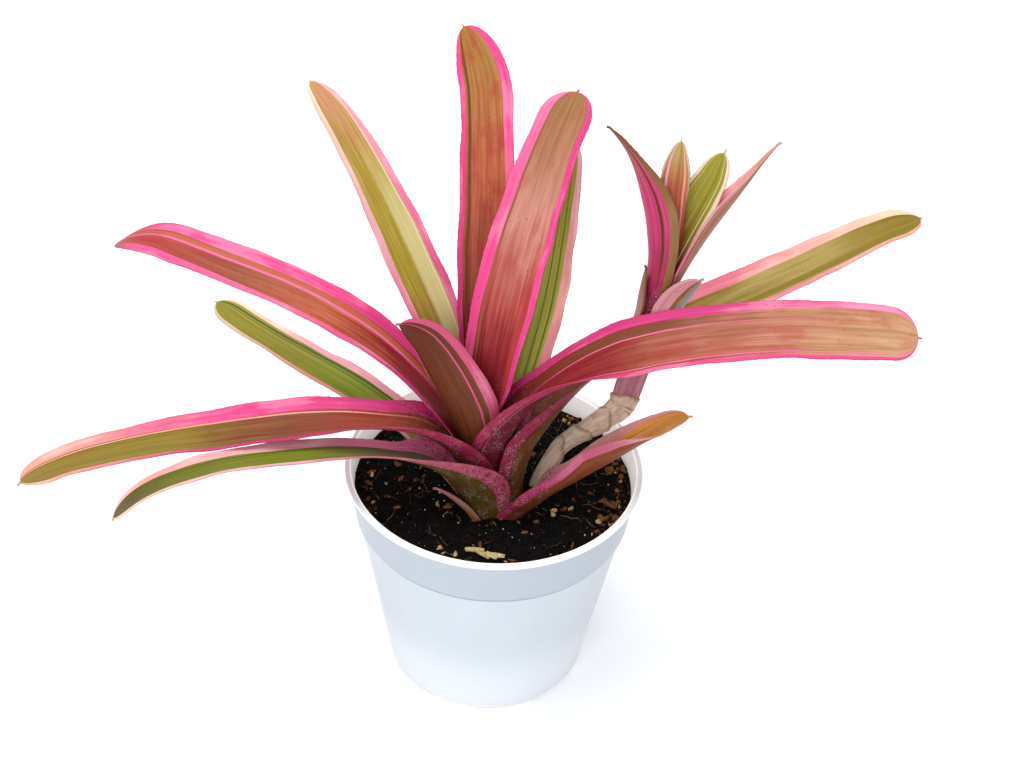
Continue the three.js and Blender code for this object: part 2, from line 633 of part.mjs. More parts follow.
// A group that stands at a place and leans towards a compass direction.
function leaningGroup({ x, y, z, lean, leanTowards }) {
  const group = new THREE.Group();
  group.position.set(x, y, z);
  const towards = degToRad(leanTowards);
  const axis = new THREE.Vector3(-Math.sin(towards), Math.cos(towards), 0);
  group.quaternion.setFromAxisAngle(axis, degToRad(lean));
  group.updateMatrix();
  plant.add(group);
  return group;
}

const rosette = leaningGroup(ROSETTE);
const youngRosette = leaningGroup(YOUNG);

addPiece(plant, 'pot', potGeometry(), material('pot', 0.3));
addPiece(plant, 'soil', soilGeometry(), material('soil', 0.95));
addPiece(rosette, 'stem', stemGeometry(), material('stem', 0.7));
for (const leaf of LEAVES) {
  const radius = INNER_SHEATH_RADIUS + SHEATH_PITCH * leaf.layer;
  addPiece(rosette, leaf.name, leafGeometry(leaf, radius), material(leaf.colour, LEAF_ROUGHNESS));
}
const scaleRadius = INNER_SHEATH_RADIUS + SHEATH_PITCH * DRIED_SCALE.layer;
addPiece(rosette, DRIED_SCALE.name, leafGeometry(DRIED_SCALE, scaleRadius), material('dryBract', 0.8));
addPiece(plant, 'stolon', stolonGeometry(), material('stolon', 0.75));
addPiece(youngRosette, 'young_stem', youngStemGeometry(), material('youngStem', LEAF_ROUGHNESS));
for (const leaf of YOUNG_LEAVES) {
  const radius = YOUNG_INNER_SHEATH_RADIUS + SHEATH_PITCH * leaf.layer;
  addPiece(youngRosette, leaf.name, leafGeometry(leaf, radius), material(leaf.colour, LEAF_ROUGHNESS));
}

export default plant;
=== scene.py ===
"""A neoregelia bromeliad in a nursery pot: what shows of the plant, its mix and its pot."""

import math
import random

import bpy
import numpy as np
from mathutils import Matrix, Vector, noise


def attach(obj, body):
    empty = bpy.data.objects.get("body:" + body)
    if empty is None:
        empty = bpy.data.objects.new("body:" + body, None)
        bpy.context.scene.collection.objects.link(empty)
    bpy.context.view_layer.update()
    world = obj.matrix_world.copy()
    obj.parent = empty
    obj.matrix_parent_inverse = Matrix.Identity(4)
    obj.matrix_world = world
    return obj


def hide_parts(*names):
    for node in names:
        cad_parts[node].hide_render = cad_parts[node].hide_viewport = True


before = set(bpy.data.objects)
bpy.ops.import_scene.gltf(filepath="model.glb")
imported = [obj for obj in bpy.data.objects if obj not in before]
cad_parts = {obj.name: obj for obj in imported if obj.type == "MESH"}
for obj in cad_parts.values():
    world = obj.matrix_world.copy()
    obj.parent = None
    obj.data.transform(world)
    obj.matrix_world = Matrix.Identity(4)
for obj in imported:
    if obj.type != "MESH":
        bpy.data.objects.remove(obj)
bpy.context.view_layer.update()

MM = 0.001
BODY = "root"

# ------------------------------------------------------------------ driving dimensions, in millimetres

# Where the two rosettes stand, and by how many degrees they lean towards which compass direction.
ROSETTE = dict(x=2, y=-13, z=84.5, lean=13, lean_towards=150)
YOUNG = dict(x=57, y=9.5, z=169, lean=11, lean_towards=20)
INNER_SHEATH_RADIUS = 2.2
YOUNG_INNER_SHEATH_RADIUS = 1.7
SHEATH_PITCH = 1.1

LEAF = dict(
    thickness=0.95,  # at the midrib
    edge_share=0.4,  # of that thickness at the margins
    body_rows=190,
    end_rows=34,
    spine_rows=7,
    columns=26,
    tooth=0.2,  # height of a marginal tooth
    tooth_every=4,  # rows
    tooth_from=0.1,  # the toothed stretch, as shares of the length
    tooth_to=0.985,
    spine=1.5,  # length of the hooked point at the tip
    spine_hook=0.7,  # how far it bends down
    spine_width=0.6,
    spine_taper=0.8,
    neck=0.86,  # width of the blade's narrow foot, as a share of its full width
    flare=0.3,  # how much wider the sheath gets above its base
    sheath_widest=0.12,  # shares of the length
    sheath_end=0.3,
    widest=0.5,
    roundness=2.2,  # of the rounded end
    bluntness=0.55,
    midrib_steps=400,
)

# The margins wave up and down and in and out: how far, and how long a stretch of leaf a wave takes.
WAVE = dict(lift=0.8, lift_pitch=17, swing=0.75, swing_pitch=12)

# Fractions of a leaf's length where its angles are given, in degrees.
KNOTS = (0, 0.1, 0.25, 0.45, 0.65, 0.85, 1)

# Fractions of a leaf's length where the colours of its centre and of its margins are given.
CENTRE_PLACES = (0.34, 0.5, 0.7, 0.94)
MARGIN_PLACES = (0.25, 0.6, 0.95)

POT = dict(
    height=100,
    rim_radius=60,
    lip_width=2.6,
    lip_thickness=1.4,
    collar_top_radius=58.3,
    collar_foot_radius=56.2,
    collar_height=21,
    step_inset=1.4,
    foot_radius=42.5,
    foot_ring_width=3,
    channel_depth=3,
    disc_radius=14,
    disc_slope=1,
    wall=1.3,
    edge_round=0.45,
    edge_steps=4,
    drain_holes=8,
    drain_hole_radius=3.2,
    drain_hole_sides=40,
    drain_circle_radius=26,
    foot_notches=4,
    foot_notch_width=22,
    foot_notch_height=1.8,
    sides=192,
)

# The potting mix: its outline inside the pot, and how lumpy its surface is.
MIX = dict(
    top=90.2,
    top_radius=56.6,
    level_band=3,  # the surface is level this near the wall
    step_radius=54.2,
    step_height=77,
    foot_radius=41,
    floor_gap=0.3,
    sides=200,
    rings=46,
    rough=1.1,
    rough_pitch=4,
    broad=1.3,
    broad_pitch=16,
    mound=1.6,  # height of the mound at the rosette
    mound_radius=17,
)

# Roots and fibres that lie on the mix.
FIBRES = dict(
    count=90,
    spread=52,
    steps=6,
    least_length=3,
    most_length=11,
    bend=0.45,  # radians at a step
    least_radius=0.06,
    most_radius=0.15,
    taper=0.6,
    lift=0.5,
    wall_limit=54,
    stem_limit=14,
)

# Straw splinters at the front: a row of pieces that lie side by side and across each other.
SPLINTERS = dict(
    count=5,
    x=-5.5,
    x_pitch=2.2,
    y=-42.6,
    y_pitch=-0.75,
    cuts=9,
    lift=1.1,
    lift_pitch=0.25,
    turn=-20,  # degrees
    turn_spread=16,
)

# The profile of the main stem, in its own frame, as (radius, height).
STEM_PROFILE = ((4.4, -18), (4.4, -1), (13.6, 0), (13.6, 1.4), (11.6, 2), (8, 6), (4, 14), (2, 20))
STEM_SIDES = 48

YOUNG_STEM = dict(
    length=37.2,
    top=6,  # its upper end, over the young rosette's base
    foot_radius=5.3,
    swell=1.2,
    narrow_from=0.62,  # share of its length
    narrowing=2.6,
    steps=30,
    sides=40,
)

# The stolon's middle line, from the foot of the rosette to the young stem.
STOLON_PATH = (
    (16.8, -2.2, 89), (19.4, -0.4, 96), (25.5, 1.2, 108), (32, 1.4, 115.3), (38, 0.8, 121),
    (44, 3, 124.6), (48.2, 5.4, 127.2), (49.4, 6.3, 129.3), (49.9, 6.8, 131.6),
)

STOLON = dict(
    points=81,
    foot_radius=2.2,
    widening=2.6,
    sides=28,
    bract_places=(0, 16, 29, 42, 54, 65, 76),  # points where a bract starts, and where the last one ends
    overlap=11,  # points
    run_on=4,  # points that the last bract reaches up the young stem
    run_on_pitch=0.8,
)

# A bract on the stolon: a thin sheet wrapped round it, with a slanted rim that runs out to a point.
BRACT = dict(
    radius=2.5,  # of the lowest one
    radius_gain=0.5,  # from each to the next
    flare=1.3,
    flare_loss=0.14,
    turn=-150,  # degrees
    turn_change=60,
    wrap=0.97,
    slant=0.5,
    point=0.1,
    spiral=0.3,
    wrinkle=0.22,
    thickness=0.35,
    columns=41,
    rows=22,
)

# Light and floor. Places and sizes are in metres here, and the power of a lamp is in watts.
LAMPS = dict(
    overhead=dict(place=(-0.3, 0.1, 1.3), size=1.0, power=10),
    front=dict(place=(-0.4, -1.3, 0.9), size=0.9, power=8),
)
LAMP_AIM = (0, 0, 0.12)
SKY_STRENGTH = 0.66
FLOOR_SIZE = 8

# Angles in degrees. The lens is a focal length on a sensor 36 mm wide.
CAMERA = dict(
    elevation=36.7, roll=3.31, distance=519.5, target=(5.2, 0, 142.6), lens=47.46, sensor=36)

# ------------------------------------------------------------------ colours


def tint(red, green, blue):
    """A display colour, 0 to 255, as the linear colour that the nodes take."""

    def linear(value):
        share = value / 255
        return share / 12.92 if share <= 0.04045 else ((share + 0.055) / 1.055) ** 2.4

    return (linear(red), linear(green), linear(blue), 1.0)


HOT_PINK = tint(248, 66, 142)
ROSE = tint(250, 114, 164)
MAGENTA = tint(222, 28, 124)
DEEP_MAGENTA = tint(186, 26, 84)
CRIMSON = tint(146, 2, 22)
WINE = tint(104, 16, 40)
PALE_PINK = tint(250, 174, 186)
SALMON_PINK = tint(250, 132, 152)
DUSKY_PINK = tint(224, 84, 128)
DULL_ROSE = tint(210, 104, 130)
PEACH = tint(252, 172, 154)
CREAM = tint(250, 224, 190)
MAUVE = tint(204, 66, 118)
COPPER = tint(196, 98, 62)
RED_COPPER = tint(184, 54, 52)
BROWN = tint(130, 70, 40)
DARK_BROWN = tint(112, 54, 26)
SIENNA = tint(164, 88, 60)
RUST = tint(156, 62, 42)
BRICK = tint(186, 74, 64)
DARK_RUST = tint(134, 48, 34)
OCHRE = tint(206, 156, 112)
GOLDEN_BROWN = tint(172, 120, 48)
GOLDEN_OLIVE = tint(204, 184, 52)
TAN = tint(206, 146, 98)
SAND = tint(196, 122, 94)
ROSY_BROWN = tint(208, 138, 120)
DRAB = tint(156, 106, 56)
OLIVE = tint(146, 124, 34)
DARK_OLIVE = tint(98, 82, 26)
KHAKI = tint(188, 164, 90)
YELLOW_OLIVE = tint(180, 158, 50)
MOSS = tint(156, 152, 48)
GREEN = tint(138, 158, 22)
LIGHT_GREEN = tint(182, 190, 80)
DARK_GREEN = tint(84, 106, 26)
LEAF_OLIVE = tint(124, 132, 26)
ORANGE = tint(255, 172, 40)
GREY_PINK = tint(228, 154, 162)
GREY_BROWN = tint(164, 124, 98)
ASH = tint(152, 142, 128)
RASPBERRY = tint(212, 56, 116)
# Pale khaki: a painted sheen as a broad band on leaf_10, a real thin stripe on young_leaf_4.
SHEEN_AND_STRIPE_KHAKI = tint(222, 208, 142)
DARK_SPECK = tint(96, 26, 30)
SCURF = tint(206, 186, 184)

POT_TINTS = dict(
    body=(tint(194, 202, 210), tint(202, 209, 216)),
    # painted light: the body paler low down, as lit by the bright floor
    floor_bounce_light=tint(226, 231, 237),
    # painted shade: the collar darker, as in the shadow of the lip and the leaves
    collar=tint(172, 181, 192),
    # painted shadow: a thin dark line under the collar's step
    step_shadow=tint(140, 149, 160),
    # painted highlight: the lip, lit from above, whiter than the rest of the pot
    lip=tint(250, 251, 253),
    # painted light: the inside of the collar, lighter than the outside
    inside=tint(240, 236, 232),
    foot=tint(246, 244, 236),
    # painted shadow where the pot meets the floor
    contact_shadow=tint(150, 146, 126),
)
BLACK = (0.0, 0.0, 0.0, 1.0)
INSIDE_GLOW = (0.9, 0.86, 0.84, 1.0)  # light that comes through the collar's wall

# Granular stuff: its dark and its light tone, the size of its grains in millimetres and its roughness.
GRAINS = dict(
    soil=(tint(3, 2, 2), tint(16, 12, 10), 0.9, 0.92),
    peat=(tint(3, 2, 2), tint(26, 18, 14), 0.8, 0.9),
    brown_peat=(tint(38, 22, 16), tint(92, 58, 38), 0.8, 0.9),
    bark=(tint(64, 34, 18), tint(170, 112, 62), 0.8, 0.85),
    clay=(tint(156, 112, 66), tint(232, 208, 164), 0.6, 0.85),
    perlite=(tint(190, 180, 166), tint(240, 236, 228), 0.4, 0.8),
    fibre=(tint(96, 62, 44), tint(190, 152, 112), 0.5, 0.8),
    straw=(tint(168, 150, 96), tint(232, 222, 178), 0.5, 0.8),
    stem=(tint(96, 72, 50), tint(150, 118, 84), 0.9, 0.8),
)

# Papery stuff: its pale and its dark tone.
PAPERS = dict(
    stolon_core=(tint(190, 158, 140), tint(150, 112, 92)),
    bract=(tint(222, 202, 184), tint(186, 156, 134)),
    young_stem=(tint(200, 138, 152), tint(146, 82, 98)),
)

# ------------------------------------------------------------------ loose bits on the mix

# detail: how round a bit is. sizes: smallest and largest radius. flatness: least and most of its width and
# height as shares of its length. lift: how far its middle lies over the mix, as a share of its size. near
# and far: how near the rosette's and how far from the pot's middle it may lie. inside and sector: the ring
# and the compass directions that it keeps to.
LOOSE_BITS = [
    dict(name="peat_crumbs", grains="peat", detail=1, count=2900, sizes=(0.45, 1.4), flatness=(0.4, 0.95),
         lift=0.1, near=11.5, far=56),
    dict(name="brown_crumbs", grains="brown_peat", detail=1, count=420, sizes=(0.25, 0.9),
         flatness=(0.4, 0.9), lift=0.5),
    dict(name="bark_bits", grains="bark", detail=2, count=60, sizes=(0.7, 2.1), flatness=(0.3, 0.7),
         lift=0.3),
    dict(name="clay_crumbs", grains="clay", detail=2, count=44, sizes=(0.5, 1.8), flatness=(0.45, 0.8),
         lift=0.4),
    dict(name="perlite_specks", grains="perlite", detail=1, count=280, sizes=(0.1, 0.34),
         flatness=(0.7, 1.0), lift=0.8),
]
BITS_ALONG_WALL = [
    dict(name="wall_crumbs", grains="brown_peat", detail=1, count=380, sizes=(0.3, 1.2),
         flatness=(0.4, 0.9), lift=0.9, far=55.2, inside=50.5),
    dict(name="wall_bark", grains="bark", detail=2, count=30, sizes=(0.7, 2.0), flatness=(0.4, 0.8),
         lift=0.6, far=54.4, inside=46, sector=(-28, 24)),
    dict(name="wall_grit", grains="clay", detail=2, count=20, sizes=(0.5, 1.5), flatness=(0.5, 0.8),
         lift=0.6, far=54.6, inside=47, sector=(-30, 75)),
]

# ------------------------------------------------------------------ leaves

# towards: compass direction of growth. layer: which sheath, from the middle. start: height of its base on
# the stem. length and width: of the whole leaf and of its blade. taper: what is left of the width at the
# end. point: share of the length that the rounded end takes. Of the angles, rise is the midrib's slope,
# side a sideways bend in the blade, roll a turn about the midrib, cup half of what the cross-section spans
# and skew the sheath's turn round the stem.
# right and left are the margin bands: their widths at the base, the middle and the tip as shares of the
# blade, and their colours. centre is the colour from base to tip. lines are stripes, thin except for one
# broad painted sheen: place across the blade, half width, colour and, where one stops early, how far along.
# flush is how much copper red tinges the outer half, back the underside's colour, back_share how much of it
# there is, contrast how strong the streaks are, and tip a colour at the tip, with the places where it
# starts and where it is full.
LEAVES = [
    dict(
        name="leaf_01", towards=-16, layer=10, start=2, length=77, width=26, taper=0.8, point=0.2,
        rise=(50, 34, 26, 27, 31, 29, 18), side=(0, 8, 14, 16, 16, 16, 16),
        roll=(0, 0, -10, -18, -6, 0, 0), cup=(50, 54, 80, 102, 86, 26, 16), skew=(-25, -16, 0, 0, 0, 0, 0),
        right=(0.13, 0.12, 0.04), left=(0.24, 0.16, 0.08), right_colour=(MAUVE, DULL_ROSE, PEACH),
        left_colour=(GREY_PINK, GREY_PINK, PEACH), centre=(GOLDEN_OLIVE, GOLDEN_OLIVE, ORANGE, ORANGE),
        lines=((0.7, 0.018, PALE_PINK, 0.8), (0.76, 0.02, OLIVE, 0.75), (0.5, 0.03, OLIVE, 0.7)),
        flush=0.0, back=DARK_RUST, back_share=0.95,
    ),
    dict(
        name="leaf_02", towards=150, layer=10, start=2, length=144, width=16.5, taper=0.85, point=0.07,
        rise=(86, 64, 34, 23, 20, 24, 30), roll=(0, 0, -8, -14, -12, -6, 0),
        cup=(42, 44, 28, 18, 14, 12, 10), skew=(-25, -15, 0, 0, 0, 0, 0),
        right=(0.2, 0.17, 0.1), left=(0.12, 0.1, 0.1), right_colour=(PALE_PINK, PALE_PINK, CREAM),
        left_colour=(PEACH, PEACH, CREAM), centre=(GREEN, GREEN, MOSS, MOSS),
        lines=((0.23, 0.035, DARK_GREEN), (0.32, 0.012, DARK_GREEN)), flush=0.0, back=GREEN,
    ),
    dict(
        name="leaf_03", towards=198, layer=9, start=3, length=156, width=18, taper=0.9, point=0.08,
        rise=(90, 72, 30, 14, 9, -8, -38), cup=(90, 84, 44, 18, 14, 12, 10),
        skew=(20, 16, 5, 0, 0, 0, 0),
        right=(0.3, 0.3, 0.2), left=(0.14, 0.12, 0.12), right_colour=(ROSE, PALE_PINK, PEACH),
        left_colour=(DULL_ROSE, PALE_PINK, CREAM), centre=(DARK_OLIVE, LEAF_OLIVE, LEAF_OLIVE, DARK_OLIVE),
        lines=((0.36, 0.02, DARK_GREEN),), flush=0.0, back=DARK_OLIVE, back_share=0.85,
    ),
    dict(
        name="leaf_04", towards=38, layer=8, start=4, length=230, width=21, taper=0.8, point=0.06,
        rise=(88, 52, 9, 3, 6, 9, -4), side=(0, 0, 0, -8, -14, -15, -15),
        roll=(0, 0, 12, 28, 32, 30, 20), cup=(104, 98, 54, 22, 14, 12, 10),
        skew=(-16, -14, -6, 0, 0, 0, 0),
        right=(0.1, 0.09, 0.1), left=(0.17, 0.28, 0.2), right_colour=(DEEP_MAGENTA, ROSE, PEACH),
        left_colour=(DUSKY_PINK, SALMON_PINK, CREAM), centre=(BROWN, OLIVE, KHAKI, OLIVE),
        lines=((0.2, 0.07, OLIVE),), flush=0.1, back=BROWN, back_share=0.85,
    ),
    dict(
        name="leaf_05", towards=61, layer=7, start=6, length=142, width=16, taper=0.7, point=0.1,
        rise=(88, 82, 72, 64, 66, 66, 60), side=(0, -12, -18, -13, -6, -4, -2),
        cup=(46, 38, 24, 16, 14, 12, 8),
        right=(0.3, 0.28, 0.2), left=(0.1, 0.1, 0.1), right_colour=(ROSE, PEACH, PALE_PINK),
        left_colour=(ROSE, ROSE, PEACH), centre=(LIGHT_GREEN, LIGHT_GREEN, LIGHT_GREEN, MOSS),
        lines=((0.4, 0.03, LEAF_OLIVE), (0.62, 0.02, LEAF_OLIVE)), flush=0.0, back=GREEN,
    ),
    dict(
        name="leaf_06", towards=186, layer=6, start=6, length=199, width=25, taper=0.88, point=0.06,
        rise=(90, 80, 20, 3, 2, -5, -6), side=(0, 0, 0, 0, 0, 0, 30), roll=(0, 0, -5, -13, -9, -6, 0),
        cup=(90, 84, 56, 28, 20, 14, 10), skew=(18, 14, 4, 0, 0, 0, 0),
        right=(0.22, 0.27, 0.24), left=(0.16, 0.08, 0.1), right_colour=(MAGENTA, HOT_PINK, PEACH),
        left_colour=(DEEP_MAGENTA, MAGENTA, PEACH), centre=(RUST, BROWN, OLIVE, OLIVE),
        lines=((0.29, 0.014, PEACH),), flush=0.15, back=WINE,
    ),
    dict(
        name="leaf_07", towards=-4, layer=5, start=8, length=194, width=26, taper=0.9, point=0.05,
        rise=(86, 81, 40, 12, 2, -8, -12), roll=(0, 0, 10, 30, 28, 32, 26),
        cup=(112, 112, 84, 30, 14, 12, 10), skew=(-16, -14, -8, 0, 0, 0, 0),
        right=(0.1, 0.08, 0.06), left=(0.11, 0.15, 0.1), right_colour=(DEEP_MAGENTA, HOT_PINK, HOT_PINK),
        left_colour=(MAGENTA, MAGENTA, ROSE), centre=(CRIMSON, RUST, SAND, OCHRE),
        lines=((0.78, 0.06, BROWN, 0.62), (0.7, 0.008, ROSE, 0.7), (0.13, 0.01, ROSE)),
        flush=0.4, back=WINE, back_share=0.75,
    ),
    dict(
        name="leaf_08", towards=161, layer=4, start=10, length=196, width=22, taper=1.0, point=0.1,
        rise=(90, 80, 57, 34, 20, 20, -20), roll=(0, 0, -5, -12, -12, -10, 0),
        cup=(66, 58, 30, 18, 14, 12, 8),
        right=(0.22, 0.25, 0.22), left=(0.14, 0.1, 0.24), right_colour=(MAGENTA, HOT_PINK, HOT_PINK),
        left_colour=(MAGENTA, ROSE, HOT_PINK), centre=(CRIMSON, COPPER, SIENNA, RED_COPPER),
        lines=((0.31, 0.06, COPPER), (0.39, 0.028, ROSE)),
        flush=0.3, back=BROWN, tip=(RED_COPPER, 0.92, 1.0),
    ),
    dict(
        name="leaf_09", towards=245, layer=3, start=14, length=85, width=27, taper=0.85, point=0.12,
        rise=(88, 88, 86, 84, 82, 73, 54), side=(0, 0, -3, -6, -8, -16, -50),
        cup=(62, 62, 60, 50, 38, 28, 20), skew=(0, 2, 6, 6, 2, 0, 0),
        right=(0.05, 0.04, 0.05), left=(0.16, 0.15, 0.14), right_colour=(GREY_PINK, GREY_PINK, MAGENTA),
        left_colour=(DUSKY_PINK, DUSKY_PINK, DUSKY_PINK), centre=(BROWN, BROWN, BROWN, WINE),
        lines=((0.74, 0.014, DUSKY_PINK),), flush=0.05, back=DARK_BROWN, back_share=0.8,
    ),
    dict(
        name="leaf_10", towards=131, layer=2, start=14, length=178, width=21.5, taper=0.65, point=0.16,
        rise=(90, 87, 79, 65, 61, 46, 20), side=(0, 0, 1, 0, 0, -3, -5),
        cup=(70, 60, 32, 18, 14, 12, 8),
        right=(0.13, 0.13, 0.16), left=(0.13, 0.14, 0.14), right_colour=(MAGENTA, ROSE, PALE_PINK),
        left_colour=(HOT_PINK, PALE_PINK, CREAM), centre=(SIENNA, YELLOW_OLIVE, YELLOW_OLIVE, TAN),
        # The broad pale khaki band here is a painted sheen, not a stripe.
        lines=((0.3, 0.16, SHEEN_AND_STRIPE_KHAKI, 0.72), (0.17, 0.012, CREAM)), flush=0.15, back=OLIVE,
    ),
    dict(
        name="leaf_11", towards=98, layer=1, start=16, length=177, width=21, taper=0.85, point=0.12,
        rise=(90, 86, 83, 83, 84, 76, 56), side=(0, -4, -10, -12, -11, -7, 22),
        cup=(84, 74, 44, 20, 14, 12, 8),
        right=(0.12, 0.16, 0.2), left=(0.1, 0.09, 0.1), right_colour=(MAGENTA, HOT_PINK, HOT_PINK),
        left_colour=(MAGENTA, HOT_PINK, HOT_PINK), centre=(CRIMSON, SIENNA, COPPER, GOLDEN_BROWN),
        lines=((0.83, 0.03, BROWN),), flush=0.75, back=BROWN,
    ),
    dict(
        name="leaf_12", towards=80, layer=0, start=18, length=160, width=24, taper=0.8, point=0.07,
        rise=(90, 92, 90, 84, 76, 56, 32), side=(0, -6, -15, -20, -22, -22, -20),
        cup=(85, 76, 44, 20, 14, 12, 8),
        right=(0.1, 0.11, 0.12), left=(0.14, 0.17, 0.18), right_colour=(MAGENTA, HOT_PINK, MAGENTA),
        left_colour=(HOT_PINK, HOT_PINK, ROSE), centre=(CRIMSON, BRICK, ROSY_BROWN, DRAB),
        lines=((0.8, 0.02, SIENNA), (0.16, 0.05, RED_COPPER, 0.6)), flush=0.3, back=BROWN,
    ),
]

YOUNG_LEAVES = [
    dict(
        name="young_bract_1", towards=-64, layer=5, start=-10, length=34, width=15, taper=0.9, point=0.4,
        rise=(88, 87, 87, 86, 82, 76, 66), side=(0, 2, 5, 10, 16, 20, 22),
        cup=(70, 66, 60, 54, 46, 38, 30),
        right=(0.1, 0.1, 0.1), left=(0.5, 0.5, 0.5), right_colour=(GREY_PINK, GREY_PINK, GREY_PINK),
        left_colour=(ASH, ASH, ASH), lines=((0.42, 0.07, DRAB),),
        centre=(GREY_PINK, GREY_PINK, GREY_PINK, GREY_PINK), flush=0.0, back=GREY_PINK, back_share=0.2,
    ),
    dict(
        name="young_bract_2", towards=194, layer=4, start=-8, length=28, width=8, taper=0.4, point=0.3,
        rise=(90, 87, 85, 84, 84, 84, 80), cup=(38, 36, 32, 28, 26, 24, 20),
        right=(0.1, 0.1, 0.1), left=(0.1, 0.1, 0.1), right_colour=(MAUVE, MAUVE, MAUVE),
        left_colour=(BROWN, BROWN, BROWN), centre=(GREY_PINK, GREY_BROWN, BROWN, BROWN), lines=(),
        flush=0.0, back=GREY_BROWN,
    ),
    dict(
        name="young_leaf_1", towards=232, layer=3, start=-4, length=82, width=17.5, taper=0.15, point=0.2,
        rise=(90, 89, 87, 85, 80, 72, 56), side=(0, 0, -6, -20, -34, -46, -56),
        cup=(58, 58, 57, 54, 50, 44, 30), skew=(-6, -10, -11, -5, 0, 0, 0),
        right=(0.03, 0.03, 0.03), left=(0.2, 0.18, 0.24), right_colour=(BROWN, BROWN, BROWN),
        left_colour=(DRAB, DRAB, BROWN), centre=(DEEP_MAGENTA, RASPBERRY, RASPBERRY, GREY_BROWN),
        lines=((0.66, 0.035, DARK_BROWN),), flush=0.0, back=RASPBERRY, back_share=0.15, contrast=0.5,
    ),
    dict(
        name="young_leaf_2", towards=-22, layer=2, start=-1, length=82, width=18, taper=0.2, point=0.25,
        rise=(90, 87, 80, 76, 73, 75, 68), side=(0, 0, 0, 3, 6, 6, 2),
        roll=(0, 0, -5, 0, 8, 16, 10), cup=(44, 48, 60, 72, 80, 60, 30), skew=(8, 16, 23, 15, 4, 0, 0),
        right=(0.04, 0.04, 0.04), left=(0.04, 0.04, 0.04), right_colour=(ROSE, PALE_PINK, PALE_PINK),
        left_colour=(ROSE, PALE_PINK, PALE_PINK), centre=(ROSE, PALE_PINK, PALE_PINK, TAN), lines=(),
        flush=0.0, back=DRAB, back_share=0.8,
    ),
    dict(
        name="young_leaf_3", towards=151, layer=0, start=3, length=66, width=11, taper=1.0, point=0.3,
        rise=(90, 89, 86, 80, 76, 80, 86), roll=(0, 0, -16, -40, -55, -60, -60),
        cup=(45, 43, 40, 34, 28, 22, 16),
        right=(0.04, 0.04, 0.06), left=(0.04, 0.04, 0.06), right_colour=(BROWN, BROWN, CREAM),
        left_colour=(BROWN, BROWN, CREAM), centre=(BROWN, COPPER, COPPER, KHAKI),
        lines=((0.17, 0.03, PEACH), (0.8, 0.05, PALE_PINK)), flush=0.2, back=BROWN,
    ),
    dict(
        name="young_leaf_4", towards=40, layer=1, start=0, length=67, width=17, taper=1.05, point=0.32,
        rise=(90, 88, 84, 81, 80, 82, 80), side=(0, 0, 0, 0, 1, 3, 5),
        cup=(45, 45, 44, 38, 32, 26, 20), skew=(14, 22, 24, 16, 8, 0, 0),
        right=(0.14, 0.16, 0.12), left=(0.07, 0.08, 0.08), right_colour=(PALE_PINK, CREAM, CREAM),
        left_colour=(CREAM, CREAM, CREAM), centre=(BROWN, OLIVE, MOSS, MOSS),
        lines=((0.27, 0.01, CREAM), (0.5, 0.01, KHAKI), (0.68, 0.01, KHAKI), (0.86, 0.01, SHEEN_AND_STRIPE_KHAKI)),
        flush=0.0, back=OLIVE,
    ),
]

DRIED_SCALE = dict(
    name="dried_scale", towards=243, layer=10.3, start=2, length=26, width=5, taper=0.7, point=0.3,
    rise=(86, 82, 78, 72, 66, 60, 56), side=(0, -8, -18, -26, -30, -34, -36),
    cup=(8, 14, 20, 20, 20, 20, 20),
    right=(0.1, 0.1, 0.1), left=(0.1, 0.1, 0.1), right_colour=(GREY_BROWN, DULL_ROSE, GREY_BROWN),
    left_colour=(GREY_BROWN, GREY_BROWN, DULL_ROSE), centre=(BROWN, GREY_BROWN, DULL_ROSE, GREY_BROWN),
    lines=(), flush=0.0, back=GREY_BROWN,
)

# ------------------------------------------------------------------ finishes


class Field:
    """A number or colour that changes over a surface. Arithmetic on it adds Math nodes."""

    def __init__(self, finish, socket):
        self.finish = finish
        self.socket = socket

    def output(self, name):
        return Field(self.finish, self.socket.node.outputs[name])

    def maths(self, operation, first, second):
        return self.finish.add("ShaderNodeMath", {"operation": operation}, {0: first, 1: second})

    def __add__(self, other):
        return self.maths("ADD", self, other)

    def __radd__(self, other):
        return self.maths("ADD", other, self)

    def __sub__(self, other):
        return self.maths("SUBTRACT", self, other)

    def __rsub__(self, other):
        return self.maths("SUBTRACT", other, self)

    def __mul__(self, other):
        return self.maths("MULTIPLY", self, other)

    def __rmul__(self, other):
        return self.maths("MULTIPLY", other, self)

    def __abs__(self):
        return self.maths("ABSOLUTE", self, 0.0)


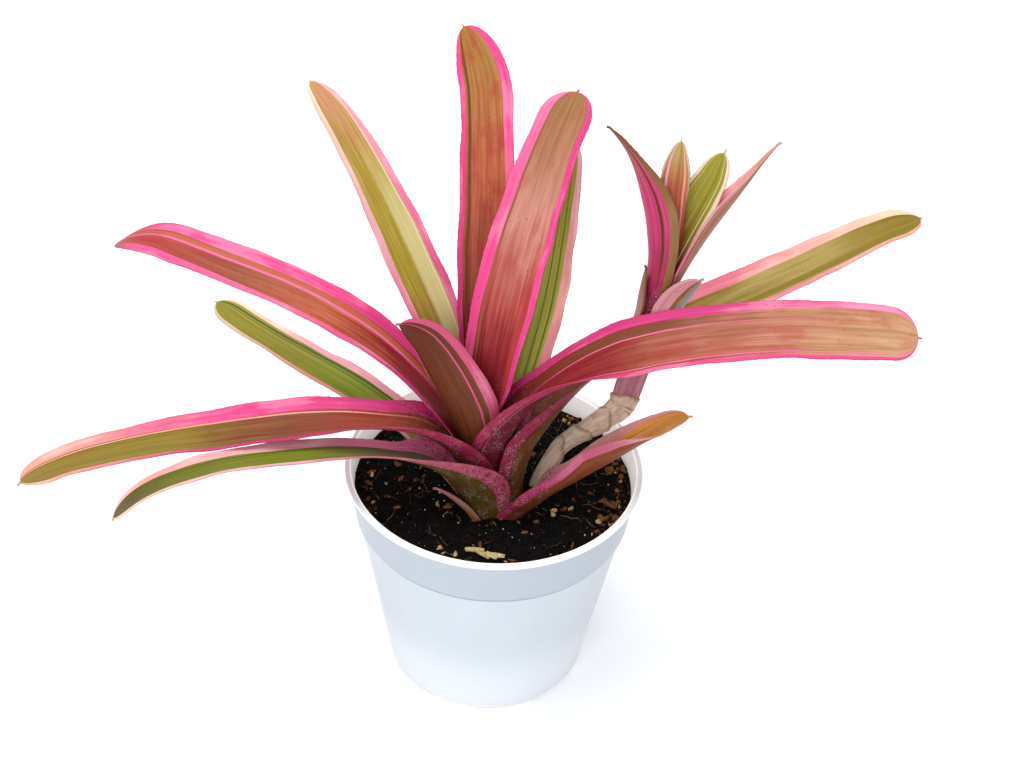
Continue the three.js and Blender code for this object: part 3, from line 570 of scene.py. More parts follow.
class Finish:
    """A material: one principled surface and what varies over it."""

    def __init__(self, name, **constants):
        self.material = bpy.data.materials.new(name)
        self.material.use_nodes = True
        self.tree = self.material.node_tree
        self.tree.nodes.clear()
        self.surface = self.tree.nodes.new("ShaderNodeBsdfPrincipled")
        target = self.tree.nodes.new("ShaderNodeOutputMaterial")
        self.tree.links.new(self.surface.outputs[0], target.inputs[0])
        for socket, value in constants.items():
            self.surface.inputs[socket.replace("_", " ")].default_value = value

    def add(self, kind, settings, sockets):
        """A node of any kind: its settings first, then the values or links of its sockets."""
        node = self.tree.nodes.new(kind)
        for key, value in settings.items():
            if key == "stops":
                ramp = node.color_ramp
                while len(ramp.elements) < len(value):
                    ramp.elements.new(1.0)
                for element, (position, colour) in zip(ramp.elements, value):
                    element.position = position
                    element.color = colour
            else:
                setattr(node, key, value)
        for key, value in sockets.items():
            if isinstance(value, Field):
                self.tree.links.new(value.socket, node.inputs[key])
            else:
                node.inputs[key].default_value = value
        return Field(self, node.outputs[0])

    def drive(self, socket, field):
        self.tree.links.new(field.socket, self.surface.inputs[socket])

    def mix(self, share, first, second):
        """The first colour, or the second where share is 1."""
        mixed = self.add(
            "ShaderNodeMix", {"data_type": "RGBA"}, {0: share, 6: first, 7: second})
        return Field(self, mixed.socket.node.outputs[2])

    def shaded(self, colour, saturation, value):
        """The colour with its saturation and its brightness multiplied."""
        return self.add(
            "ShaderNodeHueSaturation", {}, {"Saturation": saturation, "Value": value, "Color": colour})

    def ramp(self, field, stops):
        """The colour that a field picks from (place, colour) stops."""
        return self.add("ShaderNodeValToRGB", {"stops": stops}, {0: field})

    def level(self, field, stops):
        """A number that follows another one through given places."""
        grey = [(place, (value, value, value, 1.0)) for place, value in stops]
        return self.add("ShaderNodeRGBToBW", {}, {0: self.ramp(field, grey)})

    def step(self, field, low, high):
        """0 below low, 1 above high, smooth between them. With high under low it runs the other way."""
        return self.add(
            "ShaderNodeMapRange", {"interpolation_type": "SMOOTHSTEP"},
            {"Value": field, "From Min": low, "From Max": high})

    def vector(self, x, y, z):
        return self.add("ShaderNodeCombineXYZ", {}, {0: x, 1: y, 2: z})

    def noise(self, vector, scale, detail=2.0, roughness=0.5):
        return self.add(
            "ShaderNodeTexNoise", {},
            {"Vector": vector, "Scale": scale, "Detail": detail, "Roughness": roughness})

    def spots(self, vector, scale, size):
        """1 inside scattered round spots."""
        cells = self.add("ShaderNodeTexVoronoi", {}, {"Vector": vector, "Scale": scale})
        return 1 - self.step(cells, size * 0.6, size)

    def bump(self, height, distance, strength=1.0):
        bumped = self.add(
            "ShaderNodeBump", {},
            {"Height": height, "Distance": distance, "Strength": strength})
        self.drive("Normal", bumped)

    def place(self):
        """Object coordinates, in metres."""
        coordinates = self.add("ShaderNodeTexCoord", {}, {})
        return coordinates.output("Object")


def stages(places, values):
    return list(zip(places, values))


# The patterns in a leaf's colour: how fast each changes across and along the blade, per millimetre, the
# plane of noise that it is cut from, and its detail.
STREAKS = dict(
    fine=(2.4, 0.03, 0, 3.0),
    broad=(0.7, 0.025, 9, 2.0),
    cloud=(0.11, 0.05, 4, 2.0),
    wobble=(0.06, 0.05, 2, 2.0),
    flush=(0.16, 0.07, 15, 3.0),
)
BACK_SHARE = 0.5  # how much of its own colour an underside shows, unless the leaf says otherwise
STRIPE_FADE = 0.15  # how softly a stripe ends, as a share of the length
MARGIN_BLUR = 0.01  # how soft a margin band's edge is, as a share of the width


class LeafFinish(Finish):
    """A variegated leaf, with its patterns laid out on the blade's own map."""

    def __init__(self, leaf, seed):
        super().__init__(leaf["name"], Specular_IOR_Level=0.14)
        self.leaf = leaf
        self.seed = seed
        blade_map = self.add("ShaderNodeUVMap", {"uv_map": "blade"}, {})
        self.across = self.add("ShaderNodeSeparateXYZ", {}, {0: blade_map})
        self.along = self.across.output("Y")
        self.under = self.add("ShaderNodeAttribute", {"attribute_name": "underside"}, {}).output("Fac")
        self.fine, self.broad, self.cloud, wobble = (
            self.streaked(pattern) for pattern in ("fine", "broad", "cloud", "wobble"))
        # The places across and along the blade, made uneven, where bands, stripes and colours change.
        self.shifted = self.across + (wobble - 0.5) * 0.04
        self.stage = self.along + (self.cloud - 0.5) * 0.2 + (self.broad - 0.5) * 0.12

    def streaked(self, pattern):
        """One of the patterns of STREAKS, at this leaf's size."""
        per_width, per_length, plane, detail = STREAKS[pattern]
        x = self.across * self.leaf["width"] * per_width
        y = self.along * self.leaf["length"] * per_length
        return self.noise(self.vector(x, y, self.seed + plane), 1.0, detail, 0.55)

    def centre(self):
        """The centre: its colours from base to tip, light and dark streaks, and a red flush."""
        leaf = self.leaf
        base = self.ramp(self.stage, stages(CENTRE_PLACES, leaf["centre"]))
        base = self.mix(self.under * leaf.get("back_share", BACK_SHARE), base, leaf["back"])
        contrast = leaf.get("contrast", 1.0)
        light_streaks = self.step(self.broad, 0.42, 0.66) * 0.6 * contrast
        dark_streaks = self.step(self.broad, 0.5, 0.3) * 0.5 * contrast
        colour = self.mix(light_streaks, base, self.shaded(base, 0.95, 1.25))
        colour = self.mix(dark_streaks, colour, self.shaded(base, 1.1, 0.72))
        outer_half = self.step(self.along, 0.4, 0.55)
        flushed = self.step(self.streaked("flush"), 0.46, 0.68) * outer_half * leaf["flush"]
        return self.mix(flushed, colour, RED_COPPER)

    def with_stripes(self, colour):
        """Thin stripes, fainter near the foot. Some of them end before the tip."""
        for position, half, line_colour, *until in self.leaf["lines"]:
            band = 1 - self.step(abs(self.shifted - position), half * 0.7, half * 1.3)
            band = band * (0.35 + 0.65 * self.step(self.along, 0.2, 0.4))
            if until:
                end = until[0]
                band = band * (1 - self.step(self.stage, end - STRIPE_FADE, end + STRIPE_FADE))
            colour = self.mix(band, colour, line_colour)
        return colour

    def with_margins(self, colour):
        """The margin bands, with paler clouds in them."""
        pale = self.step(self.cloud + (self.broad - 0.5) * 0.5, 0.48, 0.7)
        for side, distance in (("right", self.shifted), ("left", 1 - self.shifted)):
            band_width = self.level(self.along, stages(MARGIN_PLACES, self.leaf[side]))
            band = 1 - self.step(distance - band_width, -MARGIN_BLUR, MARGIN_BLUR)
            band_colour = self.ramp(self.stage, stages(MARGIN_PLACES, self.leaf[side + "_colour"]))
            band_colour = self.mix(pale * 0.55, band_colour, self.shaded(band_colour, 0.78, 1.25))
            colour = self.mix(band, colour, band_colour)
        return colour

    def with_fine_streaks(self, colour):
        """Fine streaks over all of it, a brown rim line and the tip."""
        dull = self.shaded(colour, 1.06, 0.86)
        bright = self.shaded(colour, 0.97, 1.1)
        colour = self.mix(self.step(self.fine, 0.35, 0.7) * 0.5, dull, bright)
        rim_line = self.step(abs(self.across - 0.5), 0.484, 0.497)
        colour = self.mix(rim_line * 0.3, colour, BROWN)
        if "tip" in self.leaf:
            tip_colour, first, last = self.leaf["tip"]
            colour = self.mix(self.step(self.stage, first, last), colour, tip_colour)
        return colour

    def with_specks(self, colour):
        """A few dark specks, in some places only."""
        on_blade = self.vector(
            self.across * self.leaf["width"], self.along * self.leaf["length"], self.seed)
        rare = self.step(self.noise(on_blade, 0.12), 0.5, 0.62)
        return self.mix(self.spots(on_blade, 0.35, 0.12) * rare * 0.7, colour, DARK_SPECK)

    def with_shaded_foot_blots_and_scurf(self, colour):
        """The foot is darkened with painted shade, more on the underside, and given wine-red blots and pale
        powdery scurf, which is given back too.
        """
        solid_place = self.place()
        foot = 1 - self.step(self.along, 0.1, 0.34)
        # Painted shade: darker towards the foot, more on the underside.
        colour = self.mix(foot, colour, self.shaded(colour, 1.1, 0.88 - 0.22 * self.under))
        blots = self.step(self.noise(solid_place, 760, 4.0, 0.6), 0.53, 0.58)
        colour = self.mix(blots * foot * 0.85, colour, WINE)
        patches = self.step(self.noise(solid_place, 170), 0.42, 0.6)
        powder = self.step(self.noise(solid_place, 1500, 3.0, 0.75), 0.52, 0.63)
        scurf = powder * patches * foot
        return self.mix(scurf * 0.5, colour, SCURF), scurf


def leaf_finish(leaf, seed):
    """Variegated leaf: margins of other colours, thin stripes and fine lengthwise streaks."""
    finish = LeafFinish(leaf, seed)
    colour = finish.with_stripes(finish.centre())
    colour = finish.with_margins(colour)
    colour = finish.with_fine_streaks(colour)
    colour = finish.with_specks(colour)
    colour, scurf = finish.with_shaded_foot_blots_and_scurf(colour)
    finish.drive("Base Color", finish.shaded(colour, 0.94, 0.9 - 0.06 * finish.under))
    finish.drive("Roughness", 0.32 + 0.2 * finish.broad + 0.25 * scurf)
    finish.bump(finish.fine * 0.8 + finish.broad * 0.6, 0.1 * MM, 0.5)
    return finish.material


def papery_finish(name, scale=1.0, brown_rim=0.0):
    """Dry bract or bark: lengthwise fibres between a pale and a dark tone."""
    pale, dark = PAPERS[name]
    finish = Finish(name, Roughness=0.75, Specular_IOR_Level=0.25)
    sheet = finish.add("ShaderNodeUVMap", {"uv_map": "blade"}, {})
    around = finish.add("ShaderNodeSeparateXYZ", {}, {0: sheet})
    up = around.output("Y")
    fibres = finish.noise(finish.vector(around * 40 * scale, up * 2, 0.5), 1.0, 4.0, 0.65)
    blots = finish.noise(finish.vector(around * 3, up * 3, 2.5), 1.0, 3.0)
    tone = finish.mix(finish.step(fibres, 0.3, 0.7), dark, pale)
    tone = finish.mix(finish.step(blots, 0.5, 0.75) * 0.5, tone, dark)
    tone = finish.mix(finish.step(up, 0.86, 0.98) * brown_rim, tone, BROWN)
    finish.drive("Base Color", tone)
    finish.drive("Roughness", 0.62 + 0.25 * fibres)
    finish.bump(fibres, 0.25 * MM, 0.6)
    return finish.material


def grain_finish(name):
    """Rough granular stuff: its tone changes from grain to grain."""
    dark, light, size, roughness = GRAINS[name]
    finish = Finish(name, Roughness=roughness, Specular_IOR_Level=0.12)
    grains = finish.noise(finish.place(), 1 / (size * MM), 4.0, 0.7)
    patches = finish.noise(finish.place(), 1 / (6 * size * MM), 2.0)
    tone = finish.mix(finish.step(grains, 0.35, 0.75), dark, light)
    tone = finish.mix(finish.step(patches, 0.45, 0.65) * 0.5, tone, dark)
    finish.drive("Base Color", tone)
    finish.drive("Roughness", roughness - 0.25 + 0.35 * grains)
    finish.bump(grains, 0.3 * size * MM, 0.8)
    return finish.material


def pot_finish():
    """White moulded plastic with a faint flow texture, and painted light and shade on it:
    painted shade on the collar, a painted shadow line under the step, painted bounce light low on the body,
    a painted highlight on the lip, painted light inside the collar and a painted contact shadow at the
    foot.
    """
    finish = Finish("pot", Specular_IOR_Level=0.5, Emission_Strength=0.4)
    place = finish.place()
    split = finish.add("ShaderNodeSeparateXYZ", {}, {0: place})
    height = split.output("Z")
    level_place = finish.vector(split.output("X"), split.output("Y"), 0.0)
    from_axis = finish.add("ShaderNodeVectorMath", {"operation": "LENGTH"}, {0: level_place})
    from_axis = from_axis.output("Value")
    flow = finish.noise(place, 60, 3.0)
    scuffs = finish.noise(place, 700, 3.0, 0.6)
    collar_foot = (POT["height"] - POT["collar_height"]) * MM
    lip_foot = (POT["height"] - POT["lip_thickness"]) * MM

    # The outside, from the collar down: painted shade on the collar, a painted shadow line under the step,
    # painted bounce light low on the body, and the lip painted whiter as a painted highlight.
    colour = finish.mix(flow, *POT_TINTS["body"])
    # Painted shade on the collar, from the step up to the lip.
    over_step = finish.step(height, collar_foot - MM, collar_foot)
    under_lip = finish.step(height, lip_foot, lip_foot - MM)
    colour = finish.mix(over_step * under_lip * 0.8, colour, POT_TINTS["collar"])
    # Painted shadow: a thin dark line just under the step.
    step_shadow_line = finish.step(abs(height - (collar_foot - 1.8 * MM)), 1.1 * MM, 0.3 * MM)
    colour = finish.mix(step_shadow_line * 0.8, colour, POT_TINTS["step_shadow"])
    # Painted light: the body paler towards its foot, where light bounces up from the floor.
    colour = finish.mix(finish.step(height, 50 * MM, 4 * MM), colour, POT_TINTS["floor_bounce_light"])
    # Painted highlight: the lip whiter than the body.
    colour = finish.mix(finish.step(height, lip_foot, lip_foot + 0.4 * MM), colour, POT_TINTS["lip"])

    # The inside of the collar, parted from its outside in the middle of the wall, painted lighter and given
    # a
    # glow: painted light, for light that comes through the wall.
    wall = POT["wall"]
    top_radius = POT["rim_radius"] - POT["lip_width"]
    widening = (top_radius - POT["collar_foot_radius"] + wall) / POT["collar_height"]
    middle_radius = (height - collar_foot) * widening + (POT["collar_foot_radius"] - wall / 2) * MM
    within_wall = finish.step(from_axis - middle_radius, 0.2 * MM, -0.1 * MM)
    inside = within_wall * finish.step(height, collar_foot, lip_foot)
    colour = finish.mix(inside, colour, POT_TINTS["inside"])

    colour = finish.mix(finish.step(height, 1.6 * MM, 0.6 * MM), colour, POT_TINTS["foot"])
    # Painted contact shadow: a dark line where the foot meets the floor.
    contact_shadow = finish.step(height, 0.5 * MM, 0.1 * MM)
    finish.drive("Base Color", finish.mix(contact_shadow * 0.7, colour, POT_TINTS["contact_shadow"]))
    finish.drive("Emission Color", finish.mix(inside, BLACK, INSIDE_GLOW))
    finish.drive("Roughness", 0.3 + 0.12 * scuffs)
    finish.bump(scuffs, 0.02 * MM, 0.3)
    return finish.material


# ------------------------------------------------------------------ making pieces


def start_alone():
    """Leaves edit mode and selects nothing."""
    if bpy.context.object and bpy.context.object.mode != "OBJECT":
        bpy.ops.object.mode_set(mode="OBJECT")
    bpy.ops.object.select_all(action="DESELECT")


def take(*pieces):
    """Selects these pieces and no others, with the first one active."""
    start_alone()
    for piece in pieces:
        piece.select_set(True)
    bpy.context.view_layer.objects.active = pieces[0]


def joined(pieces):
    """The pieces made one."""
    take(*pieces)
    bpy.ops.object.join()
    return bpy.context.object


def apply_modifier(piece, kind, **settings):
    modifier = piece.modifiers.new(kind.title(), kind)
    for key, value in settings.items():
        setattr(modifier, key, value)
    take(piece)
    bpy.ops.object.modifier_apply(modifier=modifier.name)


def merge_doubles(piece, distance):
    """Merges corners that lie closer than a distance, with the faces of no area between them."""
    take(piece)
    bpy.ops.object.mode_set(mode="EDIT")
    bpy.ops.mesh.select_all(action="SELECT")
    bpy.ops.mesh.remove_doubles(threshold=distance)
    bpy.ops.object.mode_set(mode="OBJECT")


def smooth(piece, degrees):
    """Shades smoothly, but keeps edges sharper than an angle."""
    take(piece)
    bpy.ops.object.shade_smooth_by_angle(angle=math.radians(degrees))


def keep(piece, name, material, slot, *nodes):
    """Names a finished piece, gives it its material and lets it stand for its nodes."""
    piece.name = name
    piece.data.name = name
    piece.data.materials.clear()
    piece.data.materials.append(material)
    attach(piece, BODY)
    if nodes:
        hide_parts(*nodes)


def piece_from(name, corners, faces):
    """A new piece from its corners, in metres, and its faces."""
    mesh = bpy.data.meshes.new(name)
    mesh.from_pydata(corners, [], faces)
    piece = bpy.data.objects.new(name, mesh)
    bpy.context.scene.collection.objects.link(piece)
    return piece


def turned(profile, sides):
    """A turned body: a disc whose edge is extruded from one (radius, height) to the next."""
    start_alone()
    radius, height = profile[0]
    bpy.ops.mesh.primitive_circle_add(
        vertices=sides, radius=radius * MM, fill_type="NGON", location=(0, 0, height * MM))
    piece = bpy.context.object
    bpy.ops.object.transform_apply(location=True, rotation=False, scale=False)
    bpy.ops.object.mode_set(mode="EDIT")
    bpy.ops.mesh.select_mode(type="EDGE")
    bpy.ops.mesh.select_all(action="SELECT")
    bpy.ops.mesh.region_to_loop()
    for next_radius, next_height in profile[1:]:
        bpy.ops.mesh.extrude_edges_move(
            TRANSFORM_OT_translate={"value": (0, 0, (next_height - height) * MM)})
        share = next_radius / radius
        bpy.ops.transform.resize(value=(share, share, 1), center_override=(0, 0, 0))
        radius, height = next_radius, next_height
    bpy.ops.mesh.edge_face_add()
    bpy.ops.mesh.select_all(action="SELECT")
    bpy.ops.mesh.normals_make_consistent(inside=False)
    bpy.ops.object.mode_set(mode="OBJECT")
    return piece


def thread(points, radii, sides):
    """Corners and faces of a thin closed tube through points."""
    points = [Vector(point) for point in points]
    corners = []
    for i, point in enumerate(points):
        ahead = points[min(i + 1, len(points) - 1)] - points[max(i - 1, 0)]
        across = ahead.cross(Vector((0.3, 0.2, 1))).normalized()
        over = across.cross(ahead).normalized()
        for j in range(sides):
            angle = 2 * math.pi * j / sides
            corners.append(point + radii[i] * (across * math.cos(angle) + over * math.sin(angle)))
    faces = [
        (i * sides + j, (i + 1) * sides + j, (i + 1) * sides + (j + 1) % sides, i * sides + (j + 1) % sides)
        for i in range(len(points) - 1) for j in range(sides)
    ]
    faces.append(tuple(range(sides)))
    faces.append(tuple(len(points) * sides - 1 - j for j in range(sides)))
    return corners, faces


def tube(name, points, radii, sides):
    """A closed tube through points as a piece, with a map of its own: round it and along it."""
    corners, faces = thread(points, radii, sides)
    piece = piece_from(name, [corner * MM for corner in corners], faces)
    mesh = piece.data
    layer = mesh.uv_layers.new(name="blade")
    spans = len(points) - 1
    for number in range(spans * sides):
        i, j = divmod(number, sides)
        places = ((j, i), (j, i + 1), (j + 1, i + 1), (j + 1, i))
        for corner, (around, up) in zip(mesh.polygons[number].loop_indices, places):
            layer.data[corner].uv = (around / sides, up / spans)
    smooth(piece, 60)
    return piece


def leaning(group):
    """The matrix of a rosette that stands at a place and leans towards a compass direction."""
    towards = math.radians(group["lean_towards"])
    axis = Vector((-math.sin(towards), math.cos(towards), 0))
    turn = Matrix.Rotation(math.radians(group["lean"]), 4, axis)
    return Matrix.Translation(Vector((group["x"], group["y"], group["z"])) * MM) @ turn


def smoothstep(value, low, high):
    share = np.clip((value - low) / (high - low), 0, 1)
    return share * share * (3 - 2 * share)


# ------------------------------------------------------------------ leaf blades


def along(values, s):
    """The value at fraction s of a list that is given at KNOTS."""
    if isinstance(values, (int, float)):
        return np.full_like(s, values)
    return np.interp(s, KNOTS, values)


def leaf_directions(leaf, s):
    """Unit vectors at fractions s: along the midrib, across the blade and out of its upper face."""
    towards = math.radians(leaf["towards"])
    rise, side, roll = (np.radians(along(leaf.get(key, 0), s))[:, None] for key in ("rise", "side", "roll"))
    out = np.array((math.cos(towards), math.sin(towards), 0.0))
    left = np.array((-math.sin(towards), math.cos(towards), 0.0))
    up = np.array((0.0, 0.0, 1.0))
    forward = out * np.cos(rise) + up * np.sin(rise)
    face = up * np.cos(rise) - out * np.sin(rise)
    tangent = forward * np.cos(side) + left * np.sin(side)
    level = left * np.cos(side) - forward * np.sin(side)
    across = level * np.cos(roll) + face * np.sin(roll)
    normal = face * np.cos(roll) - level * np.sin(roll)
    return tangent, across, normal


def leaf_width(leaf, s, radius):
    """Width at fractions s: the sheath, the narrow neck, the strap and its rounded end."""
    base = 2 * radius * math.radians(leaf["cup"][0])
    sheath = base * (1 + LEAF["flare"] * smoothstep(s, 0, LEAF["sheath_widest"]))
    width = leaf["width"]
    foot = LEAF["neck"] * width
    strap = (
        sheath
        + (foot - sheath) * smoothstep(s, LEAF["sheath_widest"], LEAF["sheath_end"])
        + (width - foot) * smoothstep(s, LEAF["sheath_end"], LEAF["widest"])
        - width * (1 - leaf["taper"]) * smoothstep(s, LEAF["widest"], 1)
    )
    t = np.clip((s - (1 - leaf["point"])) / leaf["point"], 0, 1)
    end = np.power(np.clip(1 - np.power(t, LEAF["roundness"]), 0, 1), LEAF["bluntness"])
    return np.maximum(LEAF["spine_width"], strap * end)


def leaf_rows(leaf):
    """Fractions of the length where the rows of points lie, past 1 in the hooked point."""
    body = (1 - leaf["point"]) * np.arange(LEAF["body_rows"]) / LEAF["body_rows"]
    quarter_turn = math.pi / 2 * np.arange(LEAF["end_rows"] + 1) / LEAF["end_rows"]
    end = 1 - leaf["point"] * (1 - np.sin(quarter_turn))
    spine = 1 + LEAF["spine"] / leaf["length"] * np.arange(1, LEAF["spine_rows"] + 1) / LEAF["spine_rows"]
    return np.concatenate((body, end, spine))


def midrib(leaf, radius):
    """Points of the midrib at equal steps, in the rosette's own frame."""
    steps = LEAF["midrib_steps"]
    middle_of_steps = (np.arange(steps) + 0.5) / steps
    towards = math.radians(leaf["towards"])
    start = np.array((radius * math.cos(towards), radius * math.sin(towards), leaf["start"]))
    travel = leaf_directions(leaf, middle_of_steps)[0] * leaf["length"] / steps
    return np.vstack((start, start + np.cumsum(travel, axis=0)))


def wave_margins(leaf, rows, u, seed, sine, lift):
    """Waves the margins a little: lift up and down, and sine in and out."""
    # reach and edge: full along the blade and at its margins, nothing in the sheath, at the tip and at the
    # midrib. side: another stretch of noise for each margin.
    s = np.minimum(rows, 1)
    reach = smoothstep(s, 0.2, 0.5) * (1 - smoothstep(s, 0.93, 1.0))
    for column, place in enumerate(u):
        edge = abs(place) ** 3
        side = math.copysign(3.7, place)
        if edge <= 0.02:
            continue
        for row in np.where(reach > 0)[0]:
            distance = rows[row] * leaf["length"]
            up = noise.noise(Vector((distance / WAVE["lift_pitch"], side, seed)))
            out = noise.noise(Vector((distance / WAVE["swing_pitch"], side, seed + 20)))
            lift[row, column] += edge * reach[row] * up * WAVE["lift"]
            sine[row, column] += edge * reach[row] * out * WAVE["swing"]


def add_teeth(rows, angle, seed, sine, lift):
    """Small uneven teeth along both margins."""
    s = np.minimum(rows, 1)
    every = np.arange(len(rows)) % LEAF["tooth_every"] == 0
    toothed = np.where(every & (s > LEAF["tooth_from"]) & (s < LEAF["tooth_to"]))[0]
    for column, sign in ((0, -1), (angle.shape[1] - 1, 1)):
        uneven = 0.5 + 0.5 * np.sin(2.7 * toothed + 4 * sign + seed) * np.cos(1.3 * toothed + seed)
        height = sign * LEAF["tooth"] * uneven
        sine[toothed, column] += height * np.cos(angle[toothed, column])
        lift[toothed, column] += height * np.sin(angle[toothed, column])


def leaf_surface(leaf, radius, columns):
    """Points of the blade, row by row, in the rosette's own frame, and the rows' places."""
    line = midrib(leaf, radius)
    rows = leaf_rows(leaf)
    s = np.minimum(rows, 1)
    past = (rows - s) * leaf["length"] / LEAF["spine"]
    tangent, across, normal = leaf_directions(leaf, s)
    knots = np.linspace(0, 1, len(line))
    middle = np.stack([np.interp(s, knots, line[:, axis]) for axis in range(3)], axis=1)
    middle = middle + tangent * (past * LEAF["spine"])[:, None]
    middle = middle - normal * (past**2 * LEAF["spine_hook"])[:, None]
    width = leaf_width(leaf, s, radius) * (1 - LEAF["spine_taper"] * past)
    cup = np.radians(along(leaf["cup"], s))
    skew = np.radians(along(leaf.get("skew", 0), s))

    # Each cross-section is an arc. sine is the way across it, lift the way out of it.
    u = np.linspace(-1, 1, columns)
    angle = skew[:, None] + cup[:, None] * u[None, :]
    arc = (width / (2 * cup))[:, None]
    sine = arc * np.sin(angle)
    lift = arc * (1 - np.cos(angle))
    seed = len(leaf["name"]) + 7.3 * leaf["layer"]
    wave_margins(leaf, rows, u, seed, sine, lift)
    add_teeth(rows, angle, seed, sine, lift)
    points = (
        middle[:, None, :]
        + across[:, None, :] * sine[:, :, None]
        + normal[:, None, :] * lift[:, :, None]
    )
    return points, rows


def blade(leaf, radius, place, columns):
    """A leaf: a grid bent along its midrib, thickest there, with an upper face and an underside."""
    points, rows = leaf_surface(leaf, radius, columns)
    start_alone()
    bpy.ops.mesh.primitive_grid_add(x_subdivisions=columns - 1, y_subdivisions=len(rows) - 1, size=2)
    piece = bpy.context.object
    mesh = piece.data
    flat = np.zeros(len(mesh.vertices) * 3)
    mesh.vertices.foreach_get("co", flat)
    flat = flat.reshape(-1, 3)
    column = np.rint((flat[:, 0] + 1) / 2 * (columns - 1)).astype(int)
    row = np.rint((flat[:, 1] + 1) / 2 * (len(rows) - 1)).astype(int)
    bent = points[row, column] * MM
    matrix = np.array(place)
    bent = bent @ matrix[:3, :3].T + matrix[:3, 3]
    mesh.vertices.foreach_set("co", bent.ravel())

    corner_vertex = np.zeros(len(mesh.loops), int)
    mesh.loops.foreach_get("vertex_index", corner_vertex)
    uv = np.stack((column / (columns - 1), np.minimum(rows[row], 1)), axis=1)
    layer = mesh.uv_layers.active
    layer.name = "blade"
    layer.data.foreach_set("uv", uv[corner_vertex].ravel())

    group = piece.vertex_groups.new(name="thickness")
    for c in range(columns):
        share = 1 - abs(2 * c / (columns - 1) - 1) ** 2.5
        group.add(np.where(column == c)[0].tolist(), share, "REPLACE")
    underside_count = len(mesh.vertices)
    apply_modifier(
        piece, "SOLIDIFY", thickness=LEAF["thickness"] * MM, offset=0.0, vertex_group="thickness",
        thickness_vertex_group=LEAF["edge_share"])
    mesh = piece.data
    attribute = mesh.attributes.new("underside", "FLOAT", "POINT")
    values = np.zeros(len(mesh.vertices), np.float32)
    values[:underside_count] = 1.0
    attribute.data.foreach_set("value", values)
    piece.vertex_groups.clear()
    smooth(piece, 55)
    return piece


def add_leaf(leaf, inner_radius, place, seed, columns=LEAF["columns"]):
    radius = inner_radius + SHEATH_PITCH * leaf["layer"]
    piece = blade(leaf, radius, place, columns)
    keep(piece, leaf["name"] + "_blade", leaf_finish(leaf, seed), leaf["name"], leaf["name"])


# ------------------------------------------------------------------ pot


def cutter(kind, turn, distance, **size):
    """A body to cut with, turned round the pot's axis."""
    start_alone()
    kind(location=(distance * MM * math.cos(turn), distance * MM * math.sin(turn), 0),
         rotation=(0, 0, turn), **size)
    return bpy.context.object


def pot_cutters():
    """The bodies that cut the drain holes and the notches in the foot ring."""
    floor = POT["channel_depth"] + POT["wall"]
    cutters = []
    for i in range(POT["drain_holes"]):
        turn = 2 * math.pi * (i + 0.5) / POT["drain_holes"]
        cutters.append(cutter(
            bpy.ops.mesh.primitive_cylinder_add, turn, POT["drain_circle_radius"],
            vertices=POT["drain_hole_sides"], radius=POT["drain_hole_radius"] * MM, depth=4 * floor * MM))
    notch = (
        2 * POT["foot_ring_width"] * MM, POT["foot_notch_width"] * MM, 2 * POT["foot_notch_height"] * MM)
    for i in range(POT["foot_notches"]):
        turn = 2 * math.pi * (i + 0.5) / POT["foot_notches"]
        cutters.append(cutter(
            bpy.ops.mesh.primitive_cube_add, turn, POT["foot_radius"] - POT["foot_ring_width"] / 2,
            size=1, scale=notch))
    return cutters


def pot_body():
    """The pot: turned in one piece, its edges rounded, then its drain holes and notches cut."""
    wall = POT["wall"]
    collar_foot = POT["height"] - POT["collar_height"]
    step_foot = collar_foot - POT["step_inset"]
    step_radius = POT["collar_foot_radius"] - POT["step_inset"]
    floor = POT["channel_depth"] + wall
    lip_foot = POT["height"] - POT["lip_thickness"]
    ring_inside = POT["foot_radius"] - POT["foot_ring_width"]
    underside = [
        (POT["disc_radius"], 0), (POT["disc_radius"] + POT["disc_slope"], POT["channel_depth"]),
        (ring_inside, POT["channel_depth"]), (ring_inside, 0), (POT["foot_radius"], 0),
    ]
    outside = [
        (step_radius, step_foot), (POT["collar_foot_radius"], collar_foot),
        (POT["collar_top_radius"], lip_foot), (POT["rim_radius"], lip_foot),
        (POT["rim_radius"], POT["height"]),
    ]
    inside = [
        (POT["rim_radius"] - POT["lip_width"], POT["height"]),
        (POT["collar_foot_radius"] - wall, collar_foot), (step_radius - wall, step_foot),
        (POT["foot_radius"] - wall, floor),
    ]
    piece = turned(underside + outside + inside, POT["sides"])
    apply_modifier(
        piece, "BEVEL", width=POT["edge_round"] * MM, segments=POT["edge_steps"], limit_method="ANGLE",
        angle_limit=math.radians(20))
    tool = joined(pot_cutters())
    apply_modifier(piece, "BOOLEAN", object=tool, operation="DIFFERENCE", solver="EXACT")
    bpy.data.objects.remove(tool)
    merge_doubles(piece, 0.001 * MM)
    smooth(piece, 35)
    keep(piece, "pot_body", pot_finish(), "pot", "pot")


# ------------------------------------------------------------------ potting mix


def from_rosette(x, y):
    """Level distance from the middle of the rosette's foot."""
    return math.hypot(x - ROSETTE["x"], y - ROSETTE["y"])


def mix_height(x, y):
    """Height of the mix's surface over its mean, in millimetres, with a mound at the rosette."""
    rough = noise.fractal(Vector((x / MIX["rough_pitch"], y / MIX["rough_pitch"], 1.7)), 0.9, 2.1, 4)
    broad = noise.noise(Vector((x / MIX["broad_pitch"], y / MIX["broad_pitch"], 5.1)))
    mound = math.exp(-((from_rosette(x, y) / MIX["mound_radius"]) ** 2))
    return MIX["rough"] * rough + MIX["broad"] * broad + MIX["mound"] * mound


def mix_top(x, y):
    return MIX["top"] + mix_height(x, y)


